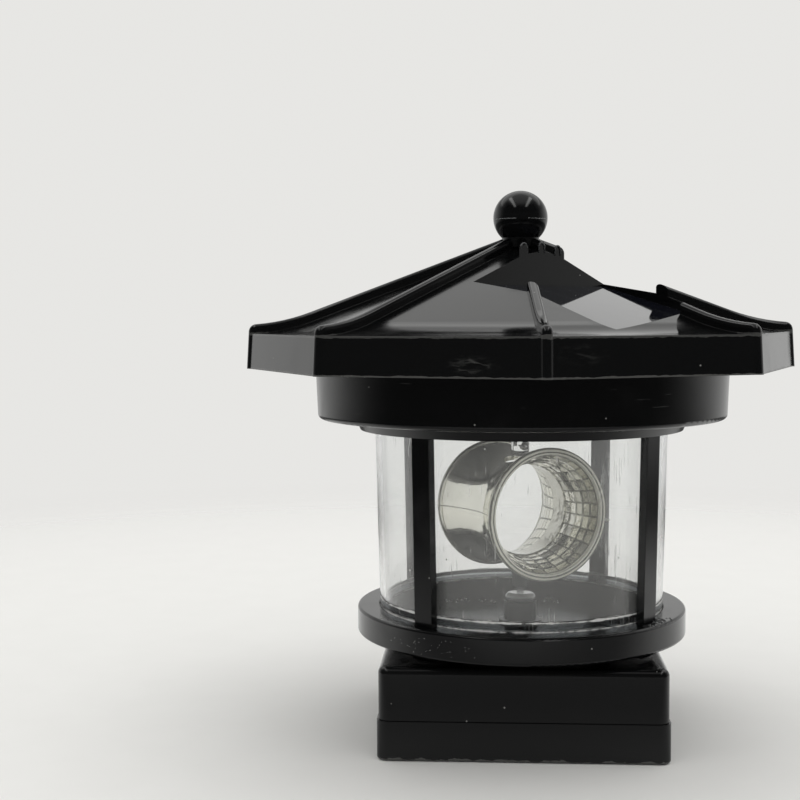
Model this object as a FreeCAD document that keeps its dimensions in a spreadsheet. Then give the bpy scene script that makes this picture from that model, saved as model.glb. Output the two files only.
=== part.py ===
import FreeCAD, Part
import math
import os
import re

import Sketcher
from FreeCAD import Placement, Rotation, Vector

# Lantern head of a solar garden lighthouse, in millimetres, +Z up.
# The origin is the centre of the base's underside. The base's sides lie along X and Y,
# and its front is towards -Y. The round joints between base, cage and roof aren't keyed,
# so the cage and the roof each stand turned by a few degrees on the piece below.

# ---------------------------------------------------------------- driving dimensions
SIZES = {
    # base: a tray and a cover, each a rounded square shell
    "cover_width": (73.6, "width of the base's upper shell"),
    "tray_step": (0.8, "how much wider the base's lower shell is"),
    "base_corner": (2.8, "radius of the base's upright corners"),
    "base_split": (10.2, "height of the line between tray and cover"),
    "base_top": (23.9, "height of the cover's top face"),
    "base_wall": (2.0, "wall of both base shells"),
    "top_round": (1.8, "rounding of the cover's top edge"),
    "foot_round": (0.8, "rounding of the tray's bottom edge"),
    "lip_height": (1.4, "height of the tray's lip inside the cover"),
    "lip_wall": (1.0, "wall of the tray's lip"),
    "shell_gap": (0.2, "clearance between pieces that slip together"),
    "neck_radius": (32.0, "outer radius of the cover's neck"),
    "neck_wall": (2.5, "wall of the cover's neck"),
    "boss_inset": (4.8, "distance of the base's screw bosses inside the cover's sides"),
    "boss_radius": (3.0, "radius of a screw boss"),
    "boss_split": (12.0, "height where the tray's bosses meet the cover's"),
    "sink_depth": (6.0, "depth of the screw wells in the tray's bosses"),
    # screws
    "screw_radius": (1.0, "radius of a screw's shank"),
    "screw_head": (1.9, "radius of a screw's head"),
    "head_height": (1.4, "height of a screw's head"),
    "base_bite": (7.0, "how far a base screw reaches past the line between the bosses"),
    "cage_bite": (2.3, "how far a cage screw reaches into the ring"),
    "roof_bite": (7.6, "how far a roof screw reaches into its boss"),
    "thread_gap": (0.05, "clearance round a screw's shank in its pilot hole"),
    "hole_gap": (0.25, "clearance round a screw in a through hole"),
    # battery and its bay
    "cell_radius": (7.1, "radius of the cell"),
    "cell_length": (49.5, "length of the cell's can"),
    "cell_nub": (1.0, "length of the cell's positive nub"),
    "cell_inset": (15.8, "distance of the cell's axis inside the cover's back"),
    "cell_lift": (9.4, "height of the cell's axis"),
    "spring_length": (3.6, "length of the contact spring, pressed"),
    "leaf_half": (3.4, "half the length of the spring's bent leaf"),
    "leaf_width": (5.0, "width of the spring's leaf"),
    "leaf_thickness": (0.3, "thickness of the spring's leaf"),
    "plate_thickness": (0.4, "thickness of a contact plate"),
    "plate_width": (10.0, "width of a contact plate"),
    "plate_height": (9.5, "height of a contact plate"),
    "bay_gap": (0.35, "clearance round the cell in its bay"),
    "bay_wall": (1.2, "wall of the cell's bay"),
    "bay_height": (8.0, "height of the bay's walls above the floor"),
    "door_margin": (1.3, "how far the door is wider than the bay on each side"),
    "door_short": (0.6, "how much shorter the door is than the bay"),
    "door_shelf": (2.0, "width of the shelf under each end of the door"),
    "door_corner": (1.2, "radius of the door's corners"),
    "door_screw_length": (5.0, "length of the door's screw"),
    "rib_width": (1.2, "width of a rib on the door"),
    "rib_length": (8.0, "length of a rib on the door"),
    "rib_step": (12.0, "distance from one rib on the door to the next"),
    "door_thickness": (1.2, "thickness of the battery door"),
    "door_ear": (2.9, "radius of the door's screw ear"),
    "door_gap": (0.3, "gap round the battery door"),
    "ear_reach": (31.0, "distance of the door's screw from the middle"),
    # switch
    "switch_x": (-18.0, "place of the switch across the base"),
    "switch_inset": (12.8, "distance of the switch inside the cover's front"),
    "switch_long": (12.0, "length of the switch's case"),
    "switch_wide": (6.4, "width of the switch's case"),
    "switch_tall": (5.2, "height of the switch's case"),
    "knob_long": (3.0, "length of the switch's knob"),
    "knob_wide": (2.4, "width of the switch's knob"),
    "knob_depth": (0.5, "depth of the knob's face inside the floor"),
    "knob_inset": (1.8, "depth of the knob inside the switch's case"),
    "knob_travel": (3.0, "travel of the knob"),
    "knob_gap": (0.3, "clearance round the knob"),
    "groove_width": (0.35, "width of a groove across the knob"),
    "groove_depth": (0.3, "depth of a groove across the knob"),
    "groove_step": (0.8, "distance from one groove to the next"),
    # control board
    "board_x": (10.0, "place of the control board across the base"),
    "board_inset": (12.8, "distance of the control board's middle inside the cover's front"),
    "board_long": (34.0, "length of the control board"),
    "board_wide": (15.0, "width of the control board"),
    "board_thickness": (1.6, "thickness of both boards"),
    "board_lift": (4.0, "height of the control board above the floor"),
    "chip_long": (7.0, "length of the board's chip"),
    "chip_wide": (5.0, "width of the board's chip"),
    "chip_tall": (1.8, "height of the board's chip"),
    "coil_radius": (2.6, "radius of the board's coil"),
    "coil_tall": (4.0, "height of the board's coil"),
    "can_radius": (2.0, "radius of the board's capacitor"),
    "can_tall": (7.0, "height of the board's capacitor"),
    "board_screw_place": (13.5, "distance of the board's screws from its middle"),
    # drive
    "gearbox_radius": (11.0, "radius of the gearbox"),
    "gearbox_height": (6.2, "height of the gearbox"),
    "ear_place": (13.6, "distance of the gearbox's ears from the axis"),
    "ear_radius": (3.0, "radius of a gearbox ear"),
    "ear_thickness": (1.8, "thickness of a gearbox ear"),
    "motor_radius": (7.8, "radius of the motor's can"),
    "motor_height": (10.4, "height of the motor's can"),
    "motor_end_radius": (2.2, "radius of the raised bearing on the motor's end"),
    "motor_end_height": (1.2, "height of the raised bearing on the motor's end"),
    "case_edge": (0.8, "bevel of the gearbox and the motor"),
    "shaft_radius": (1.0, "radius of the turning shaft"),
    "shaft_play": (0.05, "running clearance round the shaft"),
    "shaft_inset": (4.6, "depth of the shaft inside the gearbox"),
    "shaft_hole": (3.0, "radius of the cover's hole for the shaft"),
    # deck: a round dish
    "deck_radius": (44.9, "radius of the deck"),
    "deck_bottom": (26.5, "height of the deck's underside"),
    "deck_top": (33.6, "height of the deck's rim"),
    "deck_floor": (28.2, "height of the deck's sunken floor"),
    "deck_edge": (0.7, "rounding of the deck's rim"),
    "floor_pad_radius": (17.9, "radius of the raised round in the deck's floor"),
    "floor_pad_height": (0.3, "height of the raised round in the deck's floor"),
    "well_radius": (36.0, "radius of the deck's sunken floor"),
    "seat_depth": (1.6, "depth of the lens's seat below the deck's rim"),
    "spigot_radius": (2.7, "radius of the bearing post's spigot"),
    "deck_screw_place": (24.0, "distance of the deck's screws from the axis"),
    # bearing post and hub
    "bearing_radius": (4.45, "radius of the bearing post"),
    "bearing_top": (34.1, "height of the bearing post's top"),
    "flange_radius": (5.9, "radius of the bearing post's flange"),
    "flange_height": (0.6, "height of the bearing post's flange"),
    "hub_gap": (0.3, "running gap under the hub"),
    "hub_radius": (4.35, "radius of the hub"),
    "hub_height": (2.0, "height of the hub"),
    "hub_crown": (1.4, "width of the flat round the shaft on the hub's top"),
    # lens tube
    "lens_foot_radius": (38.7, "outer radius of the lens tube at its foot"),
    "lens_head_radius": (39.9, "outer radius of the lens tube at its head"),
    "lens_wall": (1.5, "wall of the lens tube"),
    "lens_foot_wall": (2.5, "wall of the thicker foot of the lens tube"),
    "lens_foot_height": (4.2, "height of the lens tube's thicker foot"),
    "lens_top": (84.0, "height of the lens tube's head"),
    "lens_gap": (0.3, "clearance round the lens tube"),
    # cage: ring and four posts
    "cage_turn": (7.2, "degrees that the cage stands turned on the base"),
    "post_width": (5.6, "width of a post"),
    "post_thick": (2.2, "thickness of a post"),
    "hook_length": (1.7, "length of a post's hook under the deck"),
    "hook_reach": (1.0, "how far a post's hook stands out"),
    "hook_gap": (0.25, "clearance between a post's hook and the deck"),
    "hook_edge": (0.5, "height of the hook's upright edge"),
    "hook_bevel": (0.6, "bevel at the tip of a post's hook"),
    "ring_bottom": (82.0, "height of the ring's underside"),
    "ring_low_radius": (44.0, "outer radius of the ring's lower edge"),
    "ring_high_radius": (45.4, "outer radius of the ring's upper edge"),
    "ring_lip": (3.0, "width of the ring's lip over the lens tube"),
    "cage_screw_place": (42.7, "distance of the cage's screws from the axis"),
    # drum
    "drum_bottom": (85.1, "height of the drum's underside"),
    "drum_foot_radius": (55.5, "outer radius of the drum at its foot"),
    "drum_head_radius": (56.0, "outer radius of the drum at its head"),
    "drum_top": (103.0, "height of the drum's upper edge, inside the roof"),
    "drum_wall": (2.0, "wall and floor of the drum"),
    "drum_edge": (1.3, "rounding of the drum's lower edge"),
    "pad_radius": (4.0, "radius of the drum's screw pads"),
    "pad_height": (2.0, "height of the drum's screw pads above its floor"),
    "roof_screw_place": (49.0, "distance of the roof's screws from the axis"),
    # lamp
    "lamp_tip": (73.9, "height of the lamp's tip"),
    "lamp_radius": (2.5, "radius of the lamp's dome"),
    "lamp_flange": (2.9, "radius of the lamp's flange"),
    "lamp_body": (8.5, "length of the lamp from tip to flange"),
    "flange_thickness": (1.0, "thickness of the lamp's flange"),
    "leg_radius": (0.25, "radius of a lamp's leg"),
    "leg_place": (1.27, "distance of a lamp's leg from the axis"),
    "holder_radius": (5.0, "radius of the lamp holder"),
    "holder_flange": (7.0, "radius of the lamp holder's flange"),
    "holder_inset": (0.8, "how far the holder reaches past the lamp's flange"),
    "lamp_board_radius": (8.5, "radius of the lamp's board"),
    # reflector: two horns back to back on one waist
    "horn_turn": (-61.5, "degrees from +X to the axis of the front horn"),
    "horn_height": (59.8, "height of the horns' common axis"),
    "horn_half": (15.5, "length of one horn from the middle"),
    "horn_rim_radius": (17.8, "outer radius of a horn's rim"),
    "waist_radius": (13.7, "outer radius of the waist"),
    "horn_wall": (1.3, "wall of the horns"),
    "rim_band": (1.1, "width of the plain band at a horn's mouth"),
    "waist_band": (3.0, "half width of the plain band in the waist"),
    "facet_step": (0.25, "step between one row of facets and the next"),
    "lamp_hole": (4.6, "radius of the hole under the lamp"),
    "stem_radius": (2.25, "radius of the stem"),
    "stem_lift": (1.9, "length of the shaft that shows between hub and stem"),
    "stem_socket": (3.0, "depth of the shaft inside the stem"),
    "stem_flare": (4.4, "radius of the stem where it meets the waist"),
    # roof: eight faces that sweep out to a vertical edge band
    "roof_turn": (3.4, "degrees that the roof stands turned on the base"),
    "roof_apex": (132.8, "height where the faces would meet"),
    "roof_steepness": (1.119, "slope of a face against the straight line from apex to eave"),
    "sweep_share": (0.7747, "share of a face's reach where it starts to flatten"),
    "eave_top": (108.1, "height of the edge band's top"),
    "eave_bottom": (98.5, "height of the edge band's lower edge"),
    "eave_radius": (74.0, "corner radius of the edge band's top"),
    "eave_flare": (0.6, "how far the edge band's lower corners stand out"),
    "roof_wall": (2.2, "upright thickness of the roof's faces"),
    "band_wall": (2.0, "thickness of the edge band"),
    "ridge_width": (2.7, "width of a ridge"),
    "ridge_rise": (2.6, "height of a ridge above the roof's hip"),
    "ridge_proud": (0.4, "how far a ridge stands out of the edge band"),
    "ridge_nose": (2.0, "radius of a ridge's turn at the eave"),
    "ridge_round": (1.2, "rounding of a ridge's edges"),
    "ridge_back": (1.4, "depth of a ridge inside the edge band's corner"),
    "ridge_root": (1.3, "depth of a ridge inside the roof's hip"),
    # panel and its recess
    "panel_start": (7.6, "distance of the recess's inner wall from the axis"),
    "panel_long": (45.0, "length of the recess outwards"),
    "panel_wide": (54.6, "width of the recess"),
    "panel_height": (120.8, "height of the panel's face at its inner end"),
    "panel_pitch": (0.267, "fall of the panel's face per millimetre outwards"),
    "panel_thickness": (2.6, "thickness of the panel"),
    "panel_gap": (0.3, "gap round the panel"),
    "recess_wall": (1.8, "wall and floor of the recess"),
    # finial
    "ball_radius": (7.4, "radius of the ball"),
    "ball_height": (139.2, "height of the ball's centre"),
    "neck_top_radius": (5.1, "radius of the ball's neck"),
    "neck_seat": (131.2, "height of the neck's seat on the roof"),
    "peg_radius": (2.4, "radius of the ball's peg"),
    "peg_length": (7.0, "length of the ball's peg"),
    "peg_bevel": (0.5, "bevel at the end of the ball's peg"),
    "finial_wall": (0.6, "wall round the neck's seat"),
    "finial_boss_depth": (14.0, "length of the boss that holds the ball's peg"),
}
FACET_COUNT = 26      # flat facets in one row, round the horn
FACET_ROWS = 5        # rows of facets from the waist to the mouth
ROOF_SIDES = 8
POSTS = 4

doc = FreeCAD.newDocument("lighthouse_head")
sheet = doc.addObject("Spreadsheet::Sheet", "Sizes")
for row, (alias, (number, meaning)) in enumerate(SIZES.items(), start=1):
    sheet.set("A%d" % row, meaning)
    sheet.set("B%d" % row, str(number))
    sheet.setAlias("B%d" % row, alias)
doc.recompute()

NODES = []            # the finished pieces, in the order in which they are made
WORD = re.compile(r"[a-z_]+")


# ---------------------------------------------------------------- ways of making a form
def tied(expression):
    """The expression with every named size pointing at the sheet."""
    return WORD.sub(lambda found: "Sizes." + found[0] if found[0] in SIZES else found[0],
                    str(expression))


def size(expression):
    """The present value of an expression in named sizes."""
    return float(sheet.evalExpression(tied(expression)))


def tie(thing, **properties):
    """Bind properties to expressions; a double underscore stands for a dot."""
    for name, expression in properties.items():
        thing.setExpression(name.replace("__", "."), tied(expression))


def place(thing, x="0", y="0", z="0", turn=None, about=Vector(0, 0, 1)):
    """Put a thing at a point, turned about an axis, both bound to the sheet."""
    start = size(turn) if turn else 0.0
    thing.Placement = Placement(Vector(size(x), size(y), size(z)), Rotation(about, start))
    tie(thing, Placement__Base__x=x, Placement__Base__y=y, Placement__Base__z=z)
    if turn:
        tie(thing, Placement__Rotation__Angle=turn)
    return thing


def keep(thing, label):
    """Name a finished piece."""
    thing.Label = label
    NODES.append(thing)
    return thing


def cylinder(name, radius, height, x="0", y="0", z="0"):
    """An upright cylinder standing on a point."""
    thing = doc.addObject("Part::Cylinder", name)
    tie(thing, Radius=radius, Height=height)
    return place(thing, x, y, z)


def lying_cylinder(name, radius, length, x, y, z):
    """A cylinder that starts at a point and runs along +X."""
    thing = doc.addObject("Part::Cylinder", name)
    tie(thing, Radius=radius, Height=length)
    place(thing, x, y, z)
    thing.Placement = Placement(thing.Placement.Base, Rotation(Vector(0, 1, 0), 90))
    return thing


def block(name, long, wide, tall, x="0", y="0", z="0"):
    """An upright block centred on a point of its underside."""
    thing = doc.addObject("Part::Box", name)
    tie(thing, Length=long, Width=wide, Height=tall)
    return place(thing, "(%s) - (%s) / 2" % (x, long), "(%s) - (%s) / 2" % (y, wide), z)


def fuse(name, *pieces):
    thing = doc.addObject("Part::MultiFuse", name)
    thing.Shapes = list(pieces)
    return thing


def common(name, *pieces):
    thing = doc.addObject("Part::MultiCommon", name)
    thing.Shapes = list(pieces)
    return thing


def cut(name, base, *tools):
    thing = doc.addObject("Part::Cut", name)
    thing.Base = base
    thing.Tool = tools[0] if len(tools) == 1 else fuse(name + "_tools", *tools)
    return thing


def group(name, *pieces):
    """Separate solids that share one name."""
    thing = doc.addObject("Part::Compound", name)
    thing.Links = list(pieces)
    return thing


def arc_edge(start, end, along):
    """The arc from start to end that leaves start in the direction along."""
    chord = end - start
    side = Vector(-along.y, along.x, 0)
    reach = chord.dot(chord) / (2 * chord.dot(side))
    centre = start + side * reach
    circle = Part.Circle(centre, Vector(0, 0, 1), abs(reach))
    first = circle.parameter(start)
    last = circle.parameter(end)
    if reach > 0:
        return Part.ArcOfCircle(circle, first, last), 1, 2
    return Part.ArcOfCircle(circle, last, first), 2, 1


def draw(sketch, corners):
    """Close an outline through corners given as expressions (across, up, how).

    how is "line" (or nothing), "arc_on" for an arc that carries on the line before it, or
    "arc_in" for an arc that runs into the line after it.
    """
    count = len(corners)
    points = [Vector(size(corner[0]), size(corner[1]), 0) for corner in corners]
    kinds = [corner[2] if len(corner) > 2 else "line" for corner in corners]
    ends = []
    for index, kind in enumerate(kinds):
        start, end = points[index], points[(index + 1) % count]
        if kind == "line":
            sketch.addGeometry(Part.LineSegment(start, end), False)
            ends.append((1, 2))
        elif kind == "arc_on":
            edge, first, last = arc_edge(start, end, (start - points[index - 1]).normalize())
            sketch.addGeometry(edge, False)
            ends.append((first, last))
        else:
            back = (end - points[(index + 2) % count]).normalize()
            edge, last, first = arc_edge(end, start, back)
            sketch.addGeometry(edge, False)
            ends.append((first, last))
    for index, corner in enumerate(corners):
        before = (index - 1) % count
        joint = (before, ends[before][1], index, ends[index][0])
        smooth = kinds[index] == "arc_on" or kinds[before] == "arc_in"
        sketch.addConstraint(Sketcher.Constraint("Tangent" if smooth else "Coincident", *joint))
        for kind, expression, axis in (("DistanceX", corner[0], -2), ("DistanceY", corner[1], -1)):
            if expression == "0":
                sketch.addConstraint(Sketcher.Constraint("PointOnObject", index, ends[index][0], axis))
                continue
            at = sketch.addConstraint(
                Sketcher.Constraint(kind, -1, 1, index, ends[index][0], size(expression)))
            sketch.setExpression("Constraints[%d]" % at, tied(expression))
    return sketch


def rounded(long, wide, corner):
    """Corners of a rounded rectangle about the origin."""
    x, y = "(%s) / 2" % long, "(%s) / 2" % wide
    inner_x, inner_y = "%s - (%s)" % (x, corner), "%s - (%s)" % (y, corner)
    return [("-(%s)" % inner_x, "-(%s)" % y), (inner_x, "-(%s)" % y, "arc_on"),
            (x, "-(%s)" % inner_y), (x, inner_y, "arc_on"),
            (inner_x, y), ("-(%s)" % inner_x, y, "arc_on"),
            ("-(%s)" % x, inner_y), ("-(%s)" % x, "-(%s)" % inner_y, "arc_on")]


def plate(name, corners, low, tall, x="0", y="0"):
    """A flat outline in X and Y, raised from a height."""
    sketch = doc.addObject("Sketcher::SketchObject", name + "_outline")
    draw(sketch, corners)
    place(sketch, x, y, low)
    thing = doc.addObject("Part::Extrusion", name)
    thing.Base = sketch
    thing.DirMode = "Normal"
    thing.Solid = True
    tie(thing, LengthFwd=tall)
    return thing


def side_profile(name, corners, half_width, azimuth=0.0):
    """An outline in a standing plane through the axis, thickened evenly to both sides."""
    sketch = doc.addObject("Sketcher::SketchObject", name + "_outline")
    draw(sketch, corners)
    upright = Rotation(Vector(1, 0, 0), 90)
    sketch.Placement = Placement(Vector(0, 0, 0), Rotation(Vector(0, 0, 1), azimuth) * upright)
    thing = doc.addObject("Part::Extrusion", name)
    thing.Base = sketch
    thing.DirMode = "Normal"
    thing.Solid = True
    tie(thing, LengthFwd=half_width, LengthRev=half_width)
    return thing


def plane_of(body, role):
    return next(item for item in body.Origin.OriginFeatures if item.Role == role)


def new_body(name):
    return doc.addObject("PartDesign::Body", name)


def body_sketch(body, name, corners, role="XZ_Plane"):
    sketch = body.newObject("Sketcher::SketchObject", name)
    sketch.AttachmentSupport = [(plane_of(body, role), "")]
    sketch.MapMode = "FlatFace"
    draw(sketch, corners)
    return sketch


def revolve(body, name, corners):
    """Add a turned form: an outline in radius and height, turned about the axis."""
    sketch = body_sketch(body, name + "_outline", corners)
    feature = body.newObject("PartDesign::Revolution", name)
    feature.Profile = sketch
    feature.ReferenceAxis = (sketch, ["V_Axis"])
    feature.Angle = 360.0
    body.Tip = feature
    return feature


def turned(name, corners):
    body = new_body(name)
    revolve(body, name + "_turning", corners)
    return body


def pattern(body, name, features, count):
    """Repeat features of a body evenly round the axis."""
    repeat = body.newObject("PartDesign::PolarPattern", name)
    repeat.Originals = features
    repeat.Axis = (plane_of(body, "Z_Axis"), [""])
    repeat.Angle = 360.0
    repeat.Occurrences = count
    body.Tip = repeat
    return repeat


def around(count, start=0.0):
    """Directions spread evenly round the axis, in degrees."""
    return [start + 360.0 * index / count for index in range(count)]


def polar(distance, azimuth):
    """Expressions for the point at a distance from the axis in a direction."""
    cosine, sine = math.cos(math.radians(azimuth)), math.sin(math.radians(azimuth))
    return "(%s) * %.9f" % (distance, cosine), "(%s) * %.9f" % (distance, sine)


def screw(name, x, y, seat, length, upward=True):
    """One screw: its head's inner face is at the height seat, its shank runs into the work."""
    shank_z = seat if upward else "(%s) - (%s)" % (seat, length)
    head_z = "(%s) - head_height" % seat if upward else seat
    return fuse(name, cylinder(name + "_shank", "screw_radius", length, x, y, shank_z),
                cylinder(name + "_head", "screw_head", "head_height", x, y, head_z))


def holes(name, spots, radius, low, tall):
    """Upright round holes, as one tool."""
    return fuse(name, *[cylinder("%s_%d" % (name, index), radius, tall, x, y, low)
                        for index, (x, y) in enumerate(spots)])


# ---------------------------------------------------------------- base shells
BOSS_PLACE = "(cover_width / 2 - boss_inset)"
BASE_BOSSES = [(BOSS_PLACE + " * %d" % side_x, BOSS_PLACE + " * %d" % side_y)
               for side_x in (-1, 1) for side_y in (-1, 1)]
CELL_Y = "cover_width / 2 - cell_inset"
SWITCH_Y = "switch_inset - cover_width / 2"
BOARD_Y = "board_inset - cover_width / 2"
DECK_SCREWS = [polar("deck_screw_place", azimuth) for azimuth in around(4, 45.0)]
EAR_SPOTS = [("ear_place", "0"), ("-ear_place", "0")]
BOARD_SPOTS = [("board_x - board_screw_place", BOARD_Y), ("board_x + board_screw_place", BOARD_Y)]
CAVITY = "cover_width - 2 * base_wall"
CAVITY_CORNER = "base_corner - base_wall + shell_gap"
THREAD = "screw_radius + thread_gap"
CLEAR = "screw_radius + hole_gap"


def rounded_block(name, wide, low, tall, round_top, radius):
    """A rounded square block with one end's outline rounded over."""
    body = new_body(name)
    sketch = body_sketch(body, name + "_outline", rounded(wide, wide, "base_corner"), "XY_Plane")
    sketch.AttachmentOffset = Placement(Vector(0, 0, size(low)), Rotation())
    tie(sketch, AttachmentOffset__Base__z=low)
    pad = body.newObject("PartDesign::Pad", name + "_pad")
    pad.Profile = sketch
    tie(pad, Length=tall)
    body.Tip = pad
    doc.recompute()
    end = size("%s + (%s)" % (low, tall)) if round_top else size(low)
    names = ["Edge%d" % number for number, edge in enumerate(pad.Shape.Edges, start=1)
             if abs(edge.BoundBox.ZMin - end) < 0.01 and abs(edge.BoundBox.ZMax - end) < 0.01]
    rounding = body.newObject("PartDesign::Fillet", name + "_rounding")
    rounding.Base = (pad, names)
    tie(rounding, Radius=radius)
    body.Tip = rounding
    return body


cover_round = rounded_block("cover_round", "cover_width", "base_split", "base_top - base_split", True,
                            "top_round")
cover_hollow = plate("cover_hollow", rounded(CAVITY, CAVITY, CAVITY_CORNER),
                     "base_split", "base_top - base_split - base_wall")
cover_shell = cut("cover_shell", cover_round, cover_hollow)
neck = turned("neck", [("neck_radius - neck_wall", "base_top - base_wall / 2"),
                       ("neck_radius", "base_top - base_wall / 2"), ("neck_radius", "deck_bottom"),
                       ("neck_radius - neck_wall", "deck_bottom")])
cover_bosses = [cylinder("cover_boss_%d" % index, "boss_radius", "base_top - base_wall / 2 - boss_split",
                         x, y, "boss_split") for index, (x, y) in enumerate(BASE_BOSSES)]
cover_solid = fuse("cover_solid", cover_shell, neck, *cover_bosses)
base_cover = keep(cut(
    "base_cover", cover_solid,
    cylinder("cover_shaft_hole", "shaft_hole", "base_wall * 2", z="base_top - base_wall * 1.5"),
    holes("cover_deck_holes", DECK_SCREWS, CLEAR, "base_top - base_wall * 1.5", "base_wall * 2"),
    holes("cover_ear_holes", EAR_SPOTS, THREAD, "base_top - base_wall * 1.5", "base_wall * 2"),
    holes("cover_boss_holes", BASE_BOSSES, THREAD, "boss_split - 1",
          "base_bite + 1.5")), "base_cover")

# The tray has the battery's bay with its door opening, the switch's slot and the screw wells.
CELL_SPACE = "cell_length + cell_nub + spring_length + plate_thickness * 2 + 0.2"
BAY_DEEP = "cell_radius * 2 + bay_gap * 2"
DOOR_LONG = "%s - door_short" % CELL_SPACE
DOOR_WIDE = "%s + door_margin * 2" % BAY_DEEP
EAR_X = "-ear_reach"
TAB_LONG = "ear_reach - (%s) / 2 + 1" % DOOR_LONG
TAB_X = "-(ear_reach + (%s) / 2 - 1) / 2" % DOOR_LONG
KNOB_SLOT_LONG = "knob_long + knob_travel + knob_gap * 2"
KNOB_SLOT_WIDE = "knob_wide + knob_gap * 2"

tray_round = rounded_block("tray_round", "cover_width + tray_step", "0", "base_split", False, "foot_round")
tray_hollow = plate("tray_hollow", rounded(CAVITY, CAVITY, CAVITY_CORNER),
                    "base_wall", "base_split")
LIP_WIDE = "cover_width - 2 * base_wall - 2 * shell_gap"
lip_outside = plate("lip_outside", rounded(LIP_WIDE, LIP_WIDE, CAVITY_CORNER),
                    "base_split - 1.5", "lip_height + 1.5")
lip_inside = plate("lip_inside", rounded(LIP_WIDE + " - 2 * lip_wall", LIP_WIDE + " - 2 * lip_wall", "0.4"),
                   "base_split - 2", "lip_height + 3")
lip_root = plate("lip_root", rounded(CAVITY + " + 0.6", CAVITY + " + 0.6", CAVITY_CORNER),
                 "base_split - 1.5", "1.5")
tray_lip = cut("tray_lip", fuse("lip_ring", lip_outside, lip_root), lip_inside)
tray_bosses = [cylinder("tray_boss_%d" % index, "boss_radius", "boss_split - base_wall / 2",
                        x, y, "base_wall / 2") for index, (x, y) in enumerate(BASE_BOSSES)]
boss_clearance = cut("boss_clearance",
                     holes("boss_clear_ring", BASE_BOSSES, "boss_radius", "base_split", "3"),
                     plate("boss_keep", rounded(LIP_WIDE, LIP_WIDE, CAVITY_CORNER),
                           "base_split - 1", "5"))
bay_outside = block("bay_outside", "%s + bay_wall * 2" % CELL_SPACE, "%s + bay_wall * 2" % BAY_DEEP,
                    "bay_height + base_wall / 2", "0", CELL_Y, "base_wall / 2")
bay_inside = block("bay_inside", CELL_SPACE, BAY_DEEP, "bay_height * 2", "0", CELL_Y, "-1")
door_seat = plate("door_seat", rounded(DOOR_LONG + " + door_gap * 2", DOOR_WIDE + " + door_gap * 2",
                                       "door_corner + door_gap"), "-1", "door_thickness + 1", "0", CELL_Y)
door_mouth = block("door_mouth", DOOR_LONG + " - door_shelf * 2", BAY_DEEP, "base_wall + 2", "0", CELL_Y,
                   "-1")
EAR_DEEP = "door_thickness + 1"
ear_round = cylinder("ear_round", "door_ear + door_gap", EAR_DEEP, EAR_X, CELL_Y, "-1")
ear_neck = block("ear_neck", TAB_LONG, "(door_ear + door_gap) * 2", EAR_DEEP, TAB_X, CELL_Y, "-1")
ear_seat = fuse("ear_seat", ear_round, ear_neck)
ear_boss = cylinder("ear_boss", "screw_radius + 1.4", "door_screw_length + 1.5", EAR_X, CELL_Y,
                    "base_wall / 2")
board_posts = [cylinder("board_post_%d" % index, "screw_radius + 1.4", "board_lift + base_wall / 2",
                        x, y, "base_wall / 2") for index, (x, y) in enumerate(BOARD_SPOTS)]
tray_inside = plate("tray_inside", rounded(CAVITY, CAVITY, CAVITY_CORNER),
                    "base_wall / 2", "base_split * 2")
bay_shape = cut("bay_shape", common("bay_limited", fuse("bay_and_boss", bay_outside, ear_boss), tray_inside),
                bay_inside)
tray_solid = fuse("tray_solid", cut("tray_shell", tray_round, tray_hollow), tray_lip, *tray_bosses,
                  *board_posts, bay_shape)
door_slot = fuse("door_slot", door_seat, ear_seat)
base_tray = keep(cut(
    "base_tray", tray_solid, door_mouth, door_slot, boss_clearance,
    holes("tray_wells", BASE_BOSSES, "screw_head + hole_gap", "-1", "sink_depth + 1"),
    holes("tray_holes", BASE_BOSSES, CLEAR, "-1", "boss_split + 3"),
    holes("tray_board_holes", BOARD_SPOTS, THREAD, "base_wall", "board_lift + 1"),
    cylinder("tray_ear_hole", THREAD, "door_screw_length + 0.5", EAR_X, CELL_Y, "0.5"),
    block("tray_switch_slot", KNOB_SLOT_LONG, KNOB_SLOT_WIDE, "base_wall + 2",
          "switch_x", SWITCH_Y, "-1")), "base_tray")

base_screws = keep(group("base_screws", *[
    screw("base_screw_%d" % index, x, y, "sink_depth", "boss_split - sink_depth + base_bite")
    for index, (x, y) in enumerate(BASE_BOSSES)]), "base_screws")

# ---------------------------------------------------------------- battery bay
door_leaf = plate("door_leaf", rounded(DOOR_LONG, DOOR_WIDE, "door_corner"), "0", "door_thickness",
                  "0", CELL_Y)
door_tab = fuse("door_tab", cylinder("tab_round", "door_ear", "door_thickness", EAR_X, CELL_Y, "0"),
                block("tab_neck", TAB_LONG, "door_ear * 2", "door_thickness", TAB_X, CELL_Y, "0"))
door_ribs = [block("door_rib_%d" % index, "rib_width", "rib_length", "base_wall - door_thickness + 0.1",
                   "rib_step * %d" % (index - 1), CELL_Y, "door_thickness - 0.05") for index in range(3)]
battery_door = keep(cut("battery_door", fuse("door_solid", door_leaf, door_tab, *door_ribs),
                        cylinder("door_hole", CLEAR, "base_wall * 2", EAR_X, CELL_Y, "-1"),
                        cylinder("door_sink", "screw_head + hole_gap", "head_height / 2 + 1",
                                 EAR_X, CELL_Y, "-1")), "battery_door")
battery_door_screw = keep(fuse(
    "battery_door_screw",
    cylinder("door_screw_shank", "screw_radius", "door_screw_length", EAR_X, CELL_Y, "head_height / 2 - 0.1"),
    cylinder("door_screw_head", "screw_head", "head_height / 2 - 0.1", EAR_X, CELL_Y, "0.1")),
    "battery_door_screw")

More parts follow.
